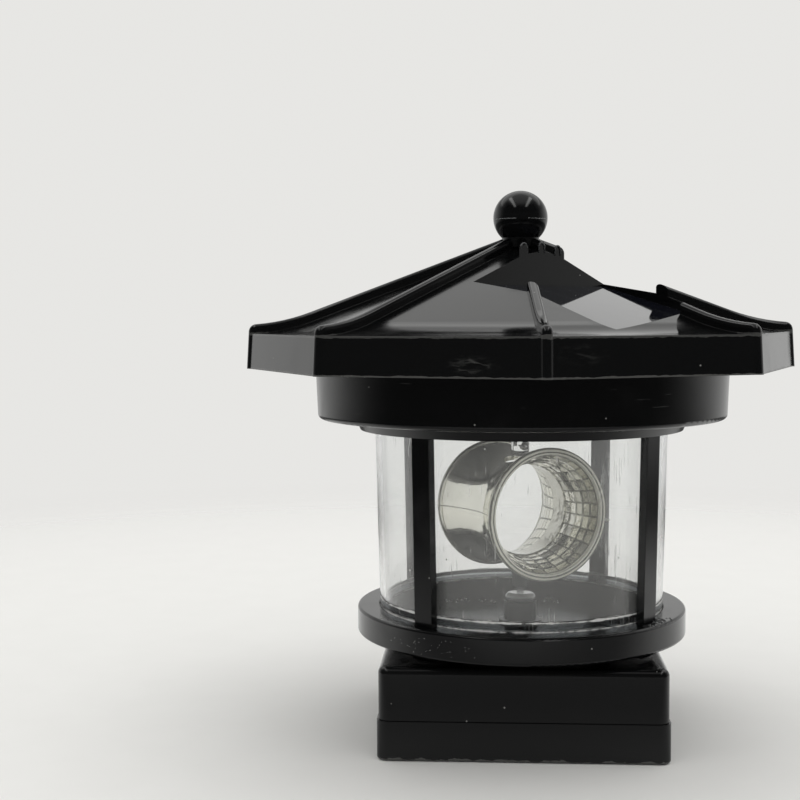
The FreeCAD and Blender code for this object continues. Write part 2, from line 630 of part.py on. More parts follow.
CELL_BACK = "-(%s) / 2 + plate_thickness + spring_length + 0.1" % CELL_SPACE
cell_can = lying_cylinder("cell_can", "cell_radius", "cell_length", CELL_BACK, CELL_Y, "cell_lift")
cell_tip = lying_cylinder("cell_tip", "cell_radius * 0.36", "cell_nub + 0.5",
                          "%s + cell_length - 0.5" % CELL_BACK, CELL_Y, "cell_lift")
battery_cell = keep(fuse("battery_cell", cell_can, cell_tip), "battery_cell")
contact_plates = keep(group("contact_plates", *[
    block("contact_plate_%d" % index, "plate_thickness", "plate_width", "plate_height",
          "((%s) / 2 - plate_thickness / 2 - 0.05) * %d" % (CELL_SPACE, side), CELL_Y,
          "cell_lift - plate_height / 2") for index, side in enumerate((-1, 1))]), "contact_plates")

# The contact spring is a bent leaf between the plate and the cell's flat end.
SPRING_ROOT = "(-(%s) / 2 + plate_thickness + 0.1)" % CELL_SPACE
spring_leaf = plate("spring_leaf", [
    (SPRING_ROOT, "-leaf_half"), (SPRING_ROOT + " + leaf_thickness", "-leaf_half"),
    (SPRING_ROOT + " + leaf_thickness", "-leaf_half * 0.35"),
    (SPRING_ROOT + " + spring_length - 0.1", "leaf_half * 0.45"),
    (SPRING_ROOT + " + spring_length - 0.1", "leaf_half"),
    (SPRING_ROOT + " + spring_length - 0.1 - leaf_thickness", "leaf_half"),
    (SPRING_ROOT + " + spring_length - 0.1 - leaf_thickness", "leaf_half * 0.45 + leaf_thickness * 0.4"),
    (SPRING_ROOT, "-leaf_half * 0.35 + leaf_thickness * 0.4")],
    "cell_lift - leaf_width / 2", "leaf_width", "0", CELL_Y)
contact_spring = keep(spring_leaf, "contact_spring")

# ---------------------------------------------------------------- switch and control board
switch_case = block("switch_case", "switch_long", "switch_wide", "switch_tall",
                    "switch_x", SWITCH_Y, "base_wall")
switch_body = keep(cut("switch_body", switch_case,
                       block("switch_track", KNOB_SLOT_LONG, KNOB_SLOT_WIDE,
                             "knob_inset + knob_gap + 1", "switch_x", SWITCH_Y, "base_wall - 1")),
                   "switch_body")
knob_block = block("knob_block", "knob_long", "knob_wide", "base_wall - knob_depth + knob_inset",
                   "switch_x - knob_travel / 2", SWITCH_Y, "knob_depth")
knob_grooves = [block("knob_groove_%d" % index, "groove_width", "knob_wide * 2", "groove_depth * 2",
                      "switch_x - knob_travel / 2 + groove_step * %d" % (index - 1), SWITCH_Y,
                      "knob_depth - groove_depth") for index in range(3)]
switch_knob = keep(cut("switch_knob", knob_block, *knob_grooves), "switch_knob")

BOARD_Z = "base_wall + board_lift"
board_sheet = plate("board_sheet", rounded("board_long", "board_wide", "1"), BOARD_Z, "board_thickness",
                    "board_x", BOARD_Y)
BOARD_TOP = BOARD_Z + " + board_thickness - 0.1"
board_chip = block("board_chip", "chip_long", "chip_wide", "chip_tall", "board_x - 3", BOARD_Y, BOARD_TOP)
board_coil = cylinder("board_coil", "coil_radius", "coil_tall", "board_x + 6", BOARD_Y + " - 2", BOARD_TOP)
board_can = cylinder("board_can", "can_radius", "can_tall", "board_x - 9", BOARD_Y + " + 3", BOARD_TOP)
control_board = keep(cut("control_board", fuse("board_solid", board_sheet, board_chip, board_coil, board_can),
                         holes("board_holes", BOARD_SPOTS, CLEAR, BOARD_Z + " - 1", "board_thickness + 2")),
                     "control_board")
board_screws = keep(group("board_screws", *[
    screw("board_screw_%d" % index, x, y, BOARD_Z + " + board_thickness", "board_lift", upward=False)
    for index, (x, y) in enumerate(BOARD_SPOTS)]), "board_screws")

# ---------------------------------------------------------------- drive
GEARBOX_TOP = "base_top - base_wall"
GEARBOX_LOW = "base_top - base_wall - gearbox_height"
gearbox_case = turned("gearbox_case", [
    ("0", GEARBOX_LOW), ("gearbox_radius - case_edge", GEARBOX_LOW),
    ("gearbox_radius", GEARBOX_LOW + " + case_edge"),
    ("gearbox_radius", GEARBOX_TOP), ("shaft_radius + shaft_play", GEARBOX_TOP),
    ("shaft_radius + shaft_play", GEARBOX_TOP + " - shaft_inset - shell_gap"),
    ("0", GEARBOX_TOP + " - shaft_inset - shell_gap")])
gearbox_ears = [cylinder("gearbox_ear_%d" % index, "ear_radius", "ear_thickness", x, y,
                         GEARBOX_TOP + " - ear_thickness") for index, (x, y) in enumerate(EAR_SPOTS)]
gearbox_web = block("gearbox_web", "ear_place * 2", "ear_radius * 2", "ear_thickness", "0", "0",
                    GEARBOX_TOP + " - ear_thickness")
gearbox = keep(cut("gearbox", fuse("gearbox_solid", gearbox_case, gearbox_web, *gearbox_ears),
                   holes("gearbox_ear_holes", EAR_SPOTS, CLEAR, GEARBOX_TOP + " - ear_thickness - 1",
                         "ear_thickness + 2"),
                   cylinder("gearbox_bore", "shaft_radius + shaft_play", "shaft_inset + shell_gap + 1",
                            z=GEARBOX_TOP + " - shaft_inset - shell_gap")), "gearbox")
gearbox_screws = keep(group("gearbox_screws", *[
    screw("gearbox_screw_%d" % index, x, y, GEARBOX_TOP + " - ear_thickness",
          "ear_thickness + base_wall - 0.3")
    for index, (x, y) in enumerate(EAR_SPOTS)]), "gearbox_screws")
MOTOR_LOW = GEARBOX_LOW + " - motor_height"
gear_motor = keep(turned("gear_motor", [
    ("0", MOTOR_LOW + " - motor_end_height"), ("motor_end_radius", MOTOR_LOW + " - motor_end_height"),
    ("motor_end_radius", MOTOR_LOW), ("motor_radius - case_edge", MOTOR_LOW),
    ("motor_radius", MOTOR_LOW + " + case_edge"),
    ("motor_radius", GEARBOX_LOW), ("0", GEARBOX_LOW)]), "gear_motor")

# ---------------------------------------------------------------- deck and its bearing post
SEAT = "lens_foot_radius + lens_gap"
LENS_BOTTOM = "deck_top - seat_depth"
PAD_FLOOR = "(deck_floor + floor_pad_height)"
deck_dish = turned("deck_dish", [
    ("spigot_radius + shell_gap", "deck_bottom"), ("deck_radius - deck_edge", "deck_bottom", "arc_on"),
    ("deck_radius", "deck_bottom + deck_edge"), ("deck_radius", "deck_top - deck_edge", "arc_on"),
    ("deck_radius - deck_edge", "deck_top"), (SEAT, "deck_top"), (SEAT, LENS_BOTTOM),
    ("well_radius", LENS_BOTTOM), ("well_radius", "deck_floor"),
    ("floor_pad_radius", "deck_floor"), ("floor_pad_radius", PAD_FLOOR),
    ("spigot_radius + shell_gap", PAD_FLOOR)])
deck_feet = [cylinder("deck_foot_%d" % index, "boss_radius", "deck_bottom - base_top + 0.5", x, y, "base_top")
             for index, (x, y) in enumerate(DECK_SCREWS)]
post_slots = []
for index, azimuth in enumerate(around(POSTS, 45.0)):
    slot = doc.addObject("Part::Box", "post_slot_%d" % index)
    tie(slot, Length="post_thick + lens_gap + 0.5", Width="post_width + shell_gap * 2",
        Height="deck_top - deck_bottom + 2")
    turn = "%s + cage_turn" % azimuth
    inner, shift = "(%s - 0.1)" % SEAT, "(post_width / 2 + shell_gap)"
    place(slot, "%s * cos(%s) + %s * sin(%s)" % (inner, turn, shift, turn),
          "%s * sin(%s) - %s * cos(%s)" % (inner, turn, shift, turn), "deck_bottom - 1", turn=turn)
    post_slots.append(slot)
deck = keep(cut("deck", fuse("deck_solid", deck_dish, *deck_feet), *post_slots,
                holes("deck_pilots", DECK_SCREWS, THREAD, "base_top - 1", "deck_floor - base_top + 0.2")),
            "deck")
deck_screws = keep(group("deck_screws", *[
    screw("deck_screw_%d" % index, x, y, "base_top - base_wall", "base_wall + deck_floor - base_top - 1.4")
    for index, (x, y) in enumerate(DECK_SCREWS)]), "deck_screws")
SHAFT_BORE = "shaft_radius + shaft_play"
bearing_post = keep(turned("bearing_post", [
    (SHAFT_BORE, "deck_bottom"), ("spigot_radius", "deck_bottom"), ("spigot_radius", PAD_FLOOR),
    ("flange_radius", PAD_FLOOR), ("flange_radius", PAD_FLOOR + " + flange_height"),
    ("bearing_radius", PAD_FLOOR + " + flange_height"), ("bearing_radius", "bearing_top"),
    (SHAFT_BORE, "bearing_top")]), "bearing_post")

# ---------------------------------------------------------------- turning beacon
HUB_LOW = "bearing_top + hub_gap"
HUB_TOP = "bearing_top + hub_gap + hub_height"
STEM_LOW = HUB_TOP + " + stem_lift"
rotor_shaft = keep(turned("rotor_shaft", [
    ("0", GEARBOX_TOP + " - shaft_inset"), ("shaft_radius", GEARBOX_TOP + " - shaft_inset"),
    ("shaft_radius", STEM_LOW + " + stem_socket"), ("0", STEM_LOW + " + stem_socket")]), "rotor_shaft")
rotor_hub = keep(turned("rotor_hub", [
    ("shaft_radius", HUB_LOW), ("hub_radius", HUB_LOW),
    ("hub_radius", HUB_LOW + " + hub_height * 0.2", "arc_on"),
    ("shaft_radius + hub_crown", HUB_TOP), ("shaft_radius", HUB_TOP)]), "rotor_hub")

# The reflector's outside is a cylinder with a round waist turned into it. Its inside is a plain
# band at the waist and, in each horn, rows of flat facets that step outwards to the mouth.
HORN_ARC = "((horn_half ^ 2 + (horn_rim_radius - waist_radius) ^ 2) / (2 * (horn_rim_radius - waist_radius)))"


def horn_radius(along):
    """Outer radius of a horn at a distance from its middle."""
    return "(waist_radius + %s - sqrt(%s ^ 2 - (%s) ^ 2))" % (HORN_ARC, HORN_ARC, along)


horn_bar = lying_cylinder("horn_bar", "horn_rim_radius", "horn_half * 2", "-horn_half", "0", "horn_height")
waist_torus = doc.addObject("Part::Torus", "waist_torus")
tie(waist_torus, Radius1="waist_radius + " + HORN_ARC, Radius2=HORN_ARC)
place(waist_torus, "0", "0", "horn_height")
waist_torus.Placement = Placement(waist_torus.Placement.Base, Rotation(Vector(0, 1, 0), 90))
horn_outside = cut("horn_outside", horn_bar, waist_torus)
rim_rolls = []
for index, side in enumerate((-1, 1)):
    roll = doc.addObject("Part::Torus", "rim_roll_%d" % index)
    tie(roll, Radius1="horn_rim_radius - horn_wall / 2", Radius2="horn_wall / 2 + 0.12")
    place(roll, "(horn_half - horn_wall / 2) * %d" % side, "0", "horn_height")
    roll.Placement = Placement(roll.Placement.Base, Rotation(Vector(0, 1, 0), 90))
    rim_rolls.append(roll)
stem = turned("stem", [
    ("shaft_radius", STEM_LOW), ("stem_radius", STEM_LOW),
    ("stem_radius", STEM_LOW + " + stem_lift", "arc_on"),
    ("stem_flare", "horn_height - waist_radius + 0.2"), ("stem_flare", "horn_height - waist_radius + 1"),
    ("0", "horn_height - waist_radius + 1"), ("0", STEM_LOW + " + stem_socket"),
    ("shaft_radius", STEM_LOW + " + stem_socket")])


def ring_of_facets(name, side, near, far, near_radius, far_radius):
    """One row of facets, as the frustum that it cuts out of the horn."""
    ends = []
    for label, along, radius in (("near", near, near_radius), ("far", far, far_radius)):
        polygon = doc.addObject("Part::RegularPolygon", "%s_%s" % (name, label))
        polygon.Polygon = FACET_COUNT
        tie(polygon, Circumradius=radius)
        place(polygon, "(%s) * %d" % (along, side), "0", "horn_height")
        polygon.Placement = Placement(polygon.Placement.Base, Rotation(Vector(0, 1, 0), 90))
        ends.append(polygon)
    frustum = doc.addObject("Part::Loft", name)
    frustum.Sections = ends
    frustum.Solid = True
    frustum.Ruled = True
    return frustum


facet_rings = []
ROW_LENGTH = "(horn_half - rim_band - waist_band) / %d" % FACET_ROWS
for side_index, side in enumerate((-1, 1)):
    for row in range(FACET_ROWS):
        near = "(waist_band + %s * %d)" % (ROW_LENGTH, row)
        far = "(waist_band + %s * %d)" % (ROW_LENGTH, row + 1)
        facet_rings.append(ring_of_facets(
            "facet_row_%d_%d" % (side_index, row), side, near, far + " + 0.02",
            "%s - horn_wall + facet_step" % horn_radius(near), "%s - horn_wall" % horn_radius(far)))
    facet_rings.append(lying_cylinder(
        "mouth_%d" % side_index, "%s - horn_wall + facet_step" % horn_radius("horn_half - rim_band"),
        "rim_band + 1", "(horn_half - rim_band) * %d - (rim_band + 1) * %d" % (side, side_index == 0),
        "0", "horn_height"))
waist_bore = lying_cylinder("waist_bore", "waist_radius - horn_wall", "waist_band * 2 + 0.04",
                            "-waist_band - 0.02", "0", "horn_height")
reflector_solid = fuse("reflector_solid", horn_outside, stem, *rim_rolls)
reflector = keep(cut("reflector", reflector_solid, waist_bore, *facet_rings,
                     cylinder("lamp_mouth", "lamp_hole", "waist_radius + 5", z="horn_height")), "reflector")
place(reflector, turn="horn_turn")

# ---------------------------------------------------------------- lens tube and cage
lens_tube = keep(turned("lens_tube", [
    ("lens_foot_radius - lens_foot_wall", LENS_BOTTOM), ("lens_foot_radius", LENS_BOTTOM),
    ("lens_head_radius", "lens_top"), ("lens_head_radius - lens_wall", "lens_top"),
    ("lens_foot_radius - lens_wall + 0.1", LENS_BOTTOM + " + lens_foot_height"),
    ("lens_foot_radius - lens_foot_wall", LENS_BOTTOM + " + lens_foot_height - 0.8")]), "lens_tube")

RING_BORE = "lens_head_radius + lens_gap"
RING_STEP = "lens_top + shell_gap"
cage_body = new_body("cage_body")
revolve(cage_body, "cage_ring", [
    (RING_BORE, "ring_bottom"), ("ring_low_radius", "ring_bottom"), ("ring_high_radius", "drum_bottom"),
    (RING_BORE + " - ring_lip", "drum_bottom"), (RING_BORE + " - ring_lip", RING_STEP),
    (RING_BORE, RING_STEP)])
HOOK_TOP = "deck_bottom - hook_gap"
post_sketch = body_sketch(cage_body, "post_outline", [
    (SEAT, HOOK_TOP + " - hook_length"), (SEAT + " + post_thick - hook_bevel", HOOK_TOP + " - hook_length"),
    (SEAT + " + post_thick + hook_reach", HOOK_TOP + " - hook_edge"),
    (SEAT + " + post_thick + hook_reach", HOOK_TOP), (SEAT + " + post_thick", HOOK_TOP),
    (RING_BORE + " + post_thick", "ring_bottom"), (RING_BORE + " + post_thick", "ring_bottom + 1"),
    (RING_BORE, "ring_bottom + 1"), (RING_BORE, "ring_bottom"), (SEAT, "deck_bottom")])
post_pad = cage_body.newObject("PartDesign::Pad", "post")
post_pad.Profile = post_sketch
post_pad.Midplane = True
tie(post_pad, Length="post_width")
pattern(cage_body, "posts", [post_pad], POSTS)
CAGE_SCREWS = [polar("cage_screw_place", azimuth) for azimuth in around(4, 0.0)]
cage_pilots = holes("cage_pilots", CAGE_SCREWS, THREAD, "drum_bottom - cage_bite - 0.3", "cage_bite + 1")
cage_drilled = cut("cage_drilled", cage_body, cage_pilots)
post_cage = keep(place(cage_drilled, turn="cage_turn + 45"), "post_cage")

# ---------------------------------------------------------------- drum, lamp and lamp board
DRUM_FLOOR = "drum_bottom + drum_wall"
PAD_TOP = "drum_bottom + drum_wall + pad_height"
ROOF_SCREWS = [polar("roof_screw_place", azimuth) for azimuth in around(4, 0.0)]
drum_shell = turned("drum_shell", [
    ("holder_radius + shell_gap", "drum_bottom"), ("drum_foot_radius - drum_edge", "drum_bottom", "arc_on"),
    ("drum_foot_radius", "drum_bottom + drum_edge"), ("drum_head_radius", "eave_bottom"),
    ("drum_head_radius", "drum_top"), ("drum_head_radius - drum_wall", "drum_top"),
    ("drum_head_radius - drum_wall", DRUM_FLOOR), ("holder_radius + shell_gap", DRUM_FLOOR)])


drum_pads = [cylinder("drum_pad_%d" % index, "pad_radius", PAD_TOP + " - drum_bottom - 0.5", x, y,
                      "drum_bottom + 0.5") for index, (x, y) in enumerate(ROOF_SCREWS)]
drum_pad_ring = fuse("drum_pad_ring", *drum_pads)
place(drum_pad_ring, turn="roof_turn")
ROOF_SCREW_SEAT = "drum_bottom + head_height + shell_gap"
roof_screw_wells = holes("roof_screw_wells", ROOF_SCREWS, "screw_head + hole_gap", "drum_bottom - 1",
                         "head_height + shell_gap + 1")
roof_screw_ways = holes("roof_screw_ways", ROOF_SCREWS, CLEAR, "drum_bottom - 1", "pad_height + 6")
roof_screw_tools = fuse("roof_screw_tools", roof_screw_wells, roof_screw_ways)
place(roof_screw_tools, turn="roof_turn")
cage_screw_ways = holes("cage_screw_ways", CAGE_SCREWS, CLEAR, "drum_bottom - 1", "drum_wall + 2")
place(cage_screw_ways, turn="cage_turn + 45")
lamp_drum = keep(cut("lamp_drum", fuse("drum_solid", drum_shell, drum_pad_ring), roof_screw_tools,
                     cage_screw_ways), "lamp_drum")
cage_screw_set = group("cage_screw_set", *[
    screw("cage_screw_%d" % index, x, y, DRUM_FLOOR, "drum_wall + cage_bite", upward=False)
    for index, (x, y) in enumerate(CAGE_SCREWS)])
cage_screws = keep(place(cage_screw_set, turn="cage_turn + 45"), "cage_screws")

LAMP_SEAT = "lamp_tip + lamp_body"
LAMP_BACK = "lamp_tip + lamp_body + flange_thickness"
HOLDER_TOP = DRUM_FLOOR + " + 1"
lamp_dome = turned("lamp_dome", [
    ("0", LAMP_BACK), ("0", "lamp_tip"), ("lamp_radius * 0.5", "lamp_tip + lamp_radius * 0.134", "arc_in"),
    ("lamp_radius", "lamp_tip + lamp_radius"), ("lamp_radius", LAMP_SEAT), ("lamp_flange", LAMP_SEAT),
    ("lamp_flange", LAMP_BACK)])
LEG_LONG = HOLDER_TOP + " + board_thickness - (%s) + 0.5" % LAMP_BACK
lamp_legs = [cylinder("lamp_leg_%d" % index, "leg_radius", LEG_LONG, "leg_place * %d" % side, "0",
                      LAMP_BACK + " - 0.1") for index, side in enumerate((-1, 1))]
led = keep(fuse("led", lamp_dome, *lamp_legs), "led")
HOLDER_LOW = LAMP_SEAT + " - holder_inset"
LEG_WAY = "leg_place + leg_radius + hole_gap"
led_holder = keep(turned("led_holder", [
    ("lamp_flange + thread_gap", HOLDER_LOW), ("holder_radius", HOLDER_LOW),
    ("holder_radius", DRUM_FLOOR), ("holder_flange", DRUM_FLOOR), ("holder_flange", HOLDER_TOP),
    (LEG_WAY, HOLDER_TOP), (LEG_WAY, LAMP_BACK), ("lamp_flange + thread_gap", LAMP_BACK)]), "led_holder")
led_board_disc = cylinder("led_board_disc", "lamp_board_radius", "board_thickness", z=HOLDER_TOP)
led_board = keep(cut("led_board", led_board_disc,
                     holes("led_board_holes", [("leg_place", "0"), ("-leg_place", "0")],
                           "leg_radius + thread_gap", HOLDER_TOP + " - 1", "board_thickness + 2")),
                 "led_board")

# ---------------------------------------------------------------- roof
# Each pair of opposite faces is one long gable whose section falls straight from the apex and
# then sweeps out level to the eave. The roof is what four such gables, an eighth of a turn
# apart, have in common.
APOTHEM = "cos(180 / %d)" % ROOF_SIDES
EAVE_REACH = "(eave_radius * %s)" % APOTHEM
ROOF_PITCH = "(roof_steepness * (roof_apex - eave_top) / %s)" % EAVE_REACH
SWEEP_START = "(sweep_share * %s)" % EAVE_REACH


def gable_corners(down, inward, bottom):
    """The gable's section, lowered and drawn in by a wall."""
    top_x = "(%s - (%s))" % (EAVE_REACH, inward)
    low_x = "((eave_radius + eave_flare) * %s - (%s))" % (APOTHEM, inward)
    start_z = "roof_apex - %s * %s - (%s)" % (ROOF_PITCH, SWEEP_START, down)
    eave_z = "eave_top - (%s)" % down
    return [("-" + low_x, bottom), (low_x, bottom), (top_x, eave_z, "arc_in"), (SWEEP_START, start_z),
            ("0", "roof_apex - (%s)" % down), ("-" + SWEEP_START, start_z, "arc_on"), ("-" + top_x, eave_z)]


def roof_block(name, down, inward, bottom):
    gables = [side_profile("%s_gable_%d" % (name, index), gable_corners(down, inward, bottom),
                           "(eave_radius + eave_flare) + 5", azimuth)
              for index, azimuth in enumerate(around(ROOF_SIDES, 180.0 / ROOF_SIDES)[:ROOF_SIDES // 2])]
    return common(name, *gables)


roof_outside = roof_block("roof_outside", "0", "0", "eave_bottom")
roof_hollow = roof_block("roof_hollow", "roof_wall", "band_wall", "eave_bottom - 2")
roof_limit = roof_block("roof_limit", "roof_wall / 2", "band_wall / 2", "drum_bottom")

PANEL_END = "panel_start + panel_long"


def slope_corners(start, end, above, below):
    """A bar along the panel's slope, between two depths under the panel's face."""
    face = "(panel_height - panel_pitch * (%s - panel_start))"
    return [(start, face % start + " - (%s)" % below), (end, face % end + " - (%s)" % below),
            (end, above if above == "roof_apex + 10" else face % end + " - (%s)" % above),
            (start, above if above == "roof_apex + 10" else face % start + " - (%s)" % above)]


tray_start, tray_end = "(panel_start - recess_wall)", "(%s + recess_wall)" % PANEL_END
panel_tray = side_profile("panel_tray", slope_corners(tray_start, tray_end, "roof_apex + 10",
                                                      "panel_thickness + recess_wall"),
                          "panel_wide / 2 + recess_wall", -45.0)
panel_recess = side_profile("panel_recess", slope_corners("(panel_start)", "(%s)" % PANEL_END,
                                                          "roof_apex + 10", "panel_thickness"),
                            "panel_wide / 2", -45.0)
roof_bosses = [cylinder("roof_boss_%d" % index, "boss_radius", "roof_apex - (%s)" % PAD_TOP, x, y, PAD_TOP)
               for index, (x, y) in enumerate(ROOF_SCREWS)]
finial_boss = cylinder("finial_boss", "neck_top_radius + finial_wall", "finial_boss_depth",
                       z="roof_apex - finial_boss_depth")
roof_inside_forms = common("roof_inside_forms",
                           fuse("roof_fittings", panel_tray, finial_boss, *roof_bosses), roof_limit)
# The tray's walls reach the roof's faces, so they are limited by the outside and not by the wall.
tray_walls = common("tray_walls", panel_tray, roof_outside)

# A ridge follows the hip as one band that turns down over the eave, repeated round the roof.
HIP_PITCH = "(%s * %s)" % (ROOF_PITCH, APOTHEM)
HIP_SWEEP = "(sweep_share * eave_radius)"
NOSE_X = "(eave_radius + ridge_proud)"
roof_ridges = new_body("roof_ridges")
ridge_sketch = body_sketch(roof_ridges, "ridge_outline", [
    ("0", "roof_apex - 3"), (HIP_SWEEP, "roof_apex - %s * %s - ridge_root" % (HIP_PITCH, HIP_SWEEP)),
    ("eave_radius - ridge_back * 2", "eave_top - ridge_root"),
    ("eave_radius - ridge_back", "eave_top - ridge_root * 1.5"),
    ("eave_radius + eave_flare - ridge_back", "eave_bottom"),
    ("eave_radius + eave_flare + ridge_proud", "eave_bottom"),
    (NOSE_X, "eave_top + ridge_rise - ridge_nose", "arc_on"),
    (NOSE_X + " - ridge_nose", "eave_top + ridge_rise", "arc_in"),
    (HIP_SWEEP, "roof_apex - %s * %s + ridge_rise" % (HIP_PITCH, HIP_SWEEP)),
    ("0", "roof_apex + ridge_rise")])
ridge_pad = roof_ridges.newObject("PartDesign::Pad", "ridge")
ridge_pad.Profile = ridge_sketch
ridge_pad.Midplane = True
tie(ridge_pad, Length="ridge_width")
roof_ridges.Tip = ridge_pad
doc.recompute()


def ridge_edges(shape):
    """The long edges along a ridge's crest, nose and outer face, on both sides."""
    names = []
    for number, edge in enumerate(shape.Edges, start=1):
        middle = edge.valueAt((edge.FirstParameter + edge.LastParameter) / 2)
        hip = size("roof_apex") - size(HIP_PITCH) * middle.x
        on_side = edge.BoundBox.YLength < 0.001
        crest = middle.z > max(hip, size("eave_top")) + size("ridge_rise") / 2
        outer = middle.x > size("eave_radius") and middle.z > size("eave_bottom") + 1
        if on_side and (crest or outer) and middle.x > 0.5:
            names.append("Edge%d" % number)
    return names


ridge_round = roof_ridges.newObject("PartDesign::Fillet", "ridge_rounding")
ridge_round.Base = (ridge_pad, ridge_edges(ridge_pad.Shape))
tie(ridge_round, Radius="ridge_round")
pattern(roof_ridges, "ridges", [ridge_pad, ridge_round], ROOF_SIDES)

roof_walls = cut("roof_walls", roof_outside, roof_hollow)
roof_solid = fuse("roof_solid", roof_walls, roof_ridges, roof_inside_forms, tray_walls)
roof_pilots = holes("roof_pilots", ROOF_SCREWS, THREAD, PAD_TOP + " - 1", "roof_bite + 3")
roof_shell = keep(cut(
    "roof_shell", roof_solid, panel_recess, roof_pilots,
    cylinder("finial_seat", "neck_top_radius + thread_gap", "20", z="neck_seat"),
    cylinder("finial_hole", "peg_radius + thread_gap", "peg_length + 1", z="neck_seat - peg_length - 0.5")),
    "roof_shell")
place(roof_shell, turn="roof_turn")
roof_screw_set = group("roof_screw_set", *[
    screw("roof_screw_%d" % index, x, y, ROOF_SCREW_SEAT,
          "(%s) - (%s) + roof_bite" % (PAD_TOP, ROOF_SCREW_SEAT))
    for index, (x, y) in enumerate(ROOF_SCREWS)])
roof_screws = keep(place(roof_screw_set, turn="roof_turn"), "roof_screws")

panel_slab = side_profile("panel_slab", slope_corners(
    "(panel_start + panel_gap)", "(%s - panel_gap)" % PANEL_END, "0", "panel_thickness"),
    "panel_wide / 2 - panel_gap", -45.0)
solar_panel = keep(place(group("panel_turned", panel_slab), turn="roof_turn"), "solar_panel")

# ---------------------------------------------------------------- finial
finial_neck = turned("finial_neck", [
    ("0", "neck_seat - peg_length"), ("peg_radius - peg_bevel", "neck_seat - peg_length"),
    ("peg_radius", "neck_seat - peg_length + peg_bevel"), ("peg_radius", "neck_seat"),
    ("neck_top_radius", "neck_seat"), ("neck_top_radius", "ball_height - ball_radius * 0.6"),
    ("0", "ball_height")])
ball = doc.addObject("Part::Sphere", "ball")
tie(ball, Radius="ball_radius")
place(ball, z="ball_height")
finial_ball = keep(fuse("finial_ball", finial_neck, ball), "finial_ball")

# ---------------------------------------------------------------- check and write
doc.recompute()
for thing in doc.Objects:
    if "Invalid" in thing.State or "Error" in thing.State:
        raise ValueError("%s failed: %s" % (thing.Name, thing.State))
os.makedirs("parts", exist_ok=True)
for thing in NODES:
    if thing.Shape.isNull() or not thing.Shape.isValid():
        raise ValueError("%s has no sound shape" % thing.Label)
    thing.Shape.exportStep("parts/%s.step" % thing.Label)
    print("%-20s %d solids %10.1f mm3" % (thing.Label, len(thing.Shape.Solids), thing.Shape.Volume))
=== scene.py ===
import math
import random

import bmesh
import bpy
from mathutils import Matrix, Vector


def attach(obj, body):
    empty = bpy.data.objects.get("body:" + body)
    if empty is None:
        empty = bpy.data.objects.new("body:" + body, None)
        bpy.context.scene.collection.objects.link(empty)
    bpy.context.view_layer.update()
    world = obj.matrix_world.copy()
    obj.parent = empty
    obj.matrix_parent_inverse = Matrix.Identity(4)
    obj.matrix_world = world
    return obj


# ------------------------------------------------------------------ frame and camera
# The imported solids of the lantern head, in metres, with the base's underside on z = 0.
# A short telephoto stands 0.39 m in front, a little above the eave, and looks slightly
# down and to the left of the lantern's axis, so the lantern sits right of the middle.
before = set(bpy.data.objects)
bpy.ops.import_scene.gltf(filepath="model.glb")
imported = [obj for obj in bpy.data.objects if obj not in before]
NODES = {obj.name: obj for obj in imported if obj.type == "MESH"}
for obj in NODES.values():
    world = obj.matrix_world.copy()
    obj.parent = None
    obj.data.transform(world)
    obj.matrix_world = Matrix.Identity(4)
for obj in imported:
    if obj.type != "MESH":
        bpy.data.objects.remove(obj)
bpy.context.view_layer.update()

MM = 0.001
CAMERA_PLACE = (-7.97 * MM, -386.78 * MM, 113.03 * MM)
CAMERA_YAW = 3.72
CAMERA_PITCH = -3.463
CAMERA_ROLL = -0.268
SENSOR = 36.0
FOCAL_PIXELS = 1406.2
PICTURE_PIXELS = 800.0
camera_data = bpy.data.cameras.new("camera")
camera_data.sensor_width = SENSOR
camera_data.lens = SENSOR * FOCAL_PIXELS / PICTURE_PIXELS
camera_data.clip_start = 0.01
camera = bpy.data.objects.new("camera", camera_data)
camera.matrix_world = (Matrix.Translation(CAMERA_PLACE)
                       @ Matrix.Rotation(math.radians(CAMERA_YAW), 4, "Z")
                       @ Matrix.Rotation(math.radians(90 + CAMERA_PITCH), 4, "X")
                       @ Matrix.Rotation(math.radians(CAMERA_ROLL), 4, "Z"))
bpy.context.scene.collection.objects.link(camera)
bpy.context.scene.camera = camera
bpy.context.scene.view_settings.view_transform = "Standard"


# ------------------------------------------------------------------ base: tray, cover and door
# The square foot is two shells of glossy black ABS. The tray is screwed to the cover from
# below, and the battery door is let into the tray. The black finish that is mixed here is
# used again for the deck, the cage, the drum and the roof.
def add(tree, kind, inputs=None, **values):
    """Add a node to a tree, set its properties and then its sockets."""
    node = tree.nodes.new(kind)
    for name, value in values.items():
        setattr(node, name, value)
    for name, value in (inputs or {}).items():
        if isinstance(value, bpy.types.NodeSocket):
            tree.links.new(value, node.inputs[name])
        else:
            node.inputs[name].default_value = value
    return node


def step(tree, value, low, high, start=0.0, end=1.0):
    """A soft step: start below low, end above high."""
    return add(tree, "ShaderNodeMapRange",
               {"Value": value, "From Min": low, "From Max": high, "To Min": start, "To Max": end},
               interpolation_type="SMOOTHSTEP").outputs[0]


def calc(tree, operation, first, second=0.0, third=0.0):
    """One step of arithmetic."""
    return add(tree, "ShaderNodeMath", {0: first, 1: second, 2: third}, operation=operation).outputs[0]


def axes_of(tree, value):
    """The X, Y and Z of a place."""
    return add(tree, "ShaderNodeSeparateXYZ", {0: value}).outputs


def surface_place(tree):
    """Where a point lies on the piece, in metres."""
    return add(tree, "ShaderNodeTexCoord").outputs["Object"]


def noise(tree, **inputs):
    """A cloudy mask between 0 and 1."""
    return add(tree, "ShaderNodeTexNoise", inputs).outputs[0]


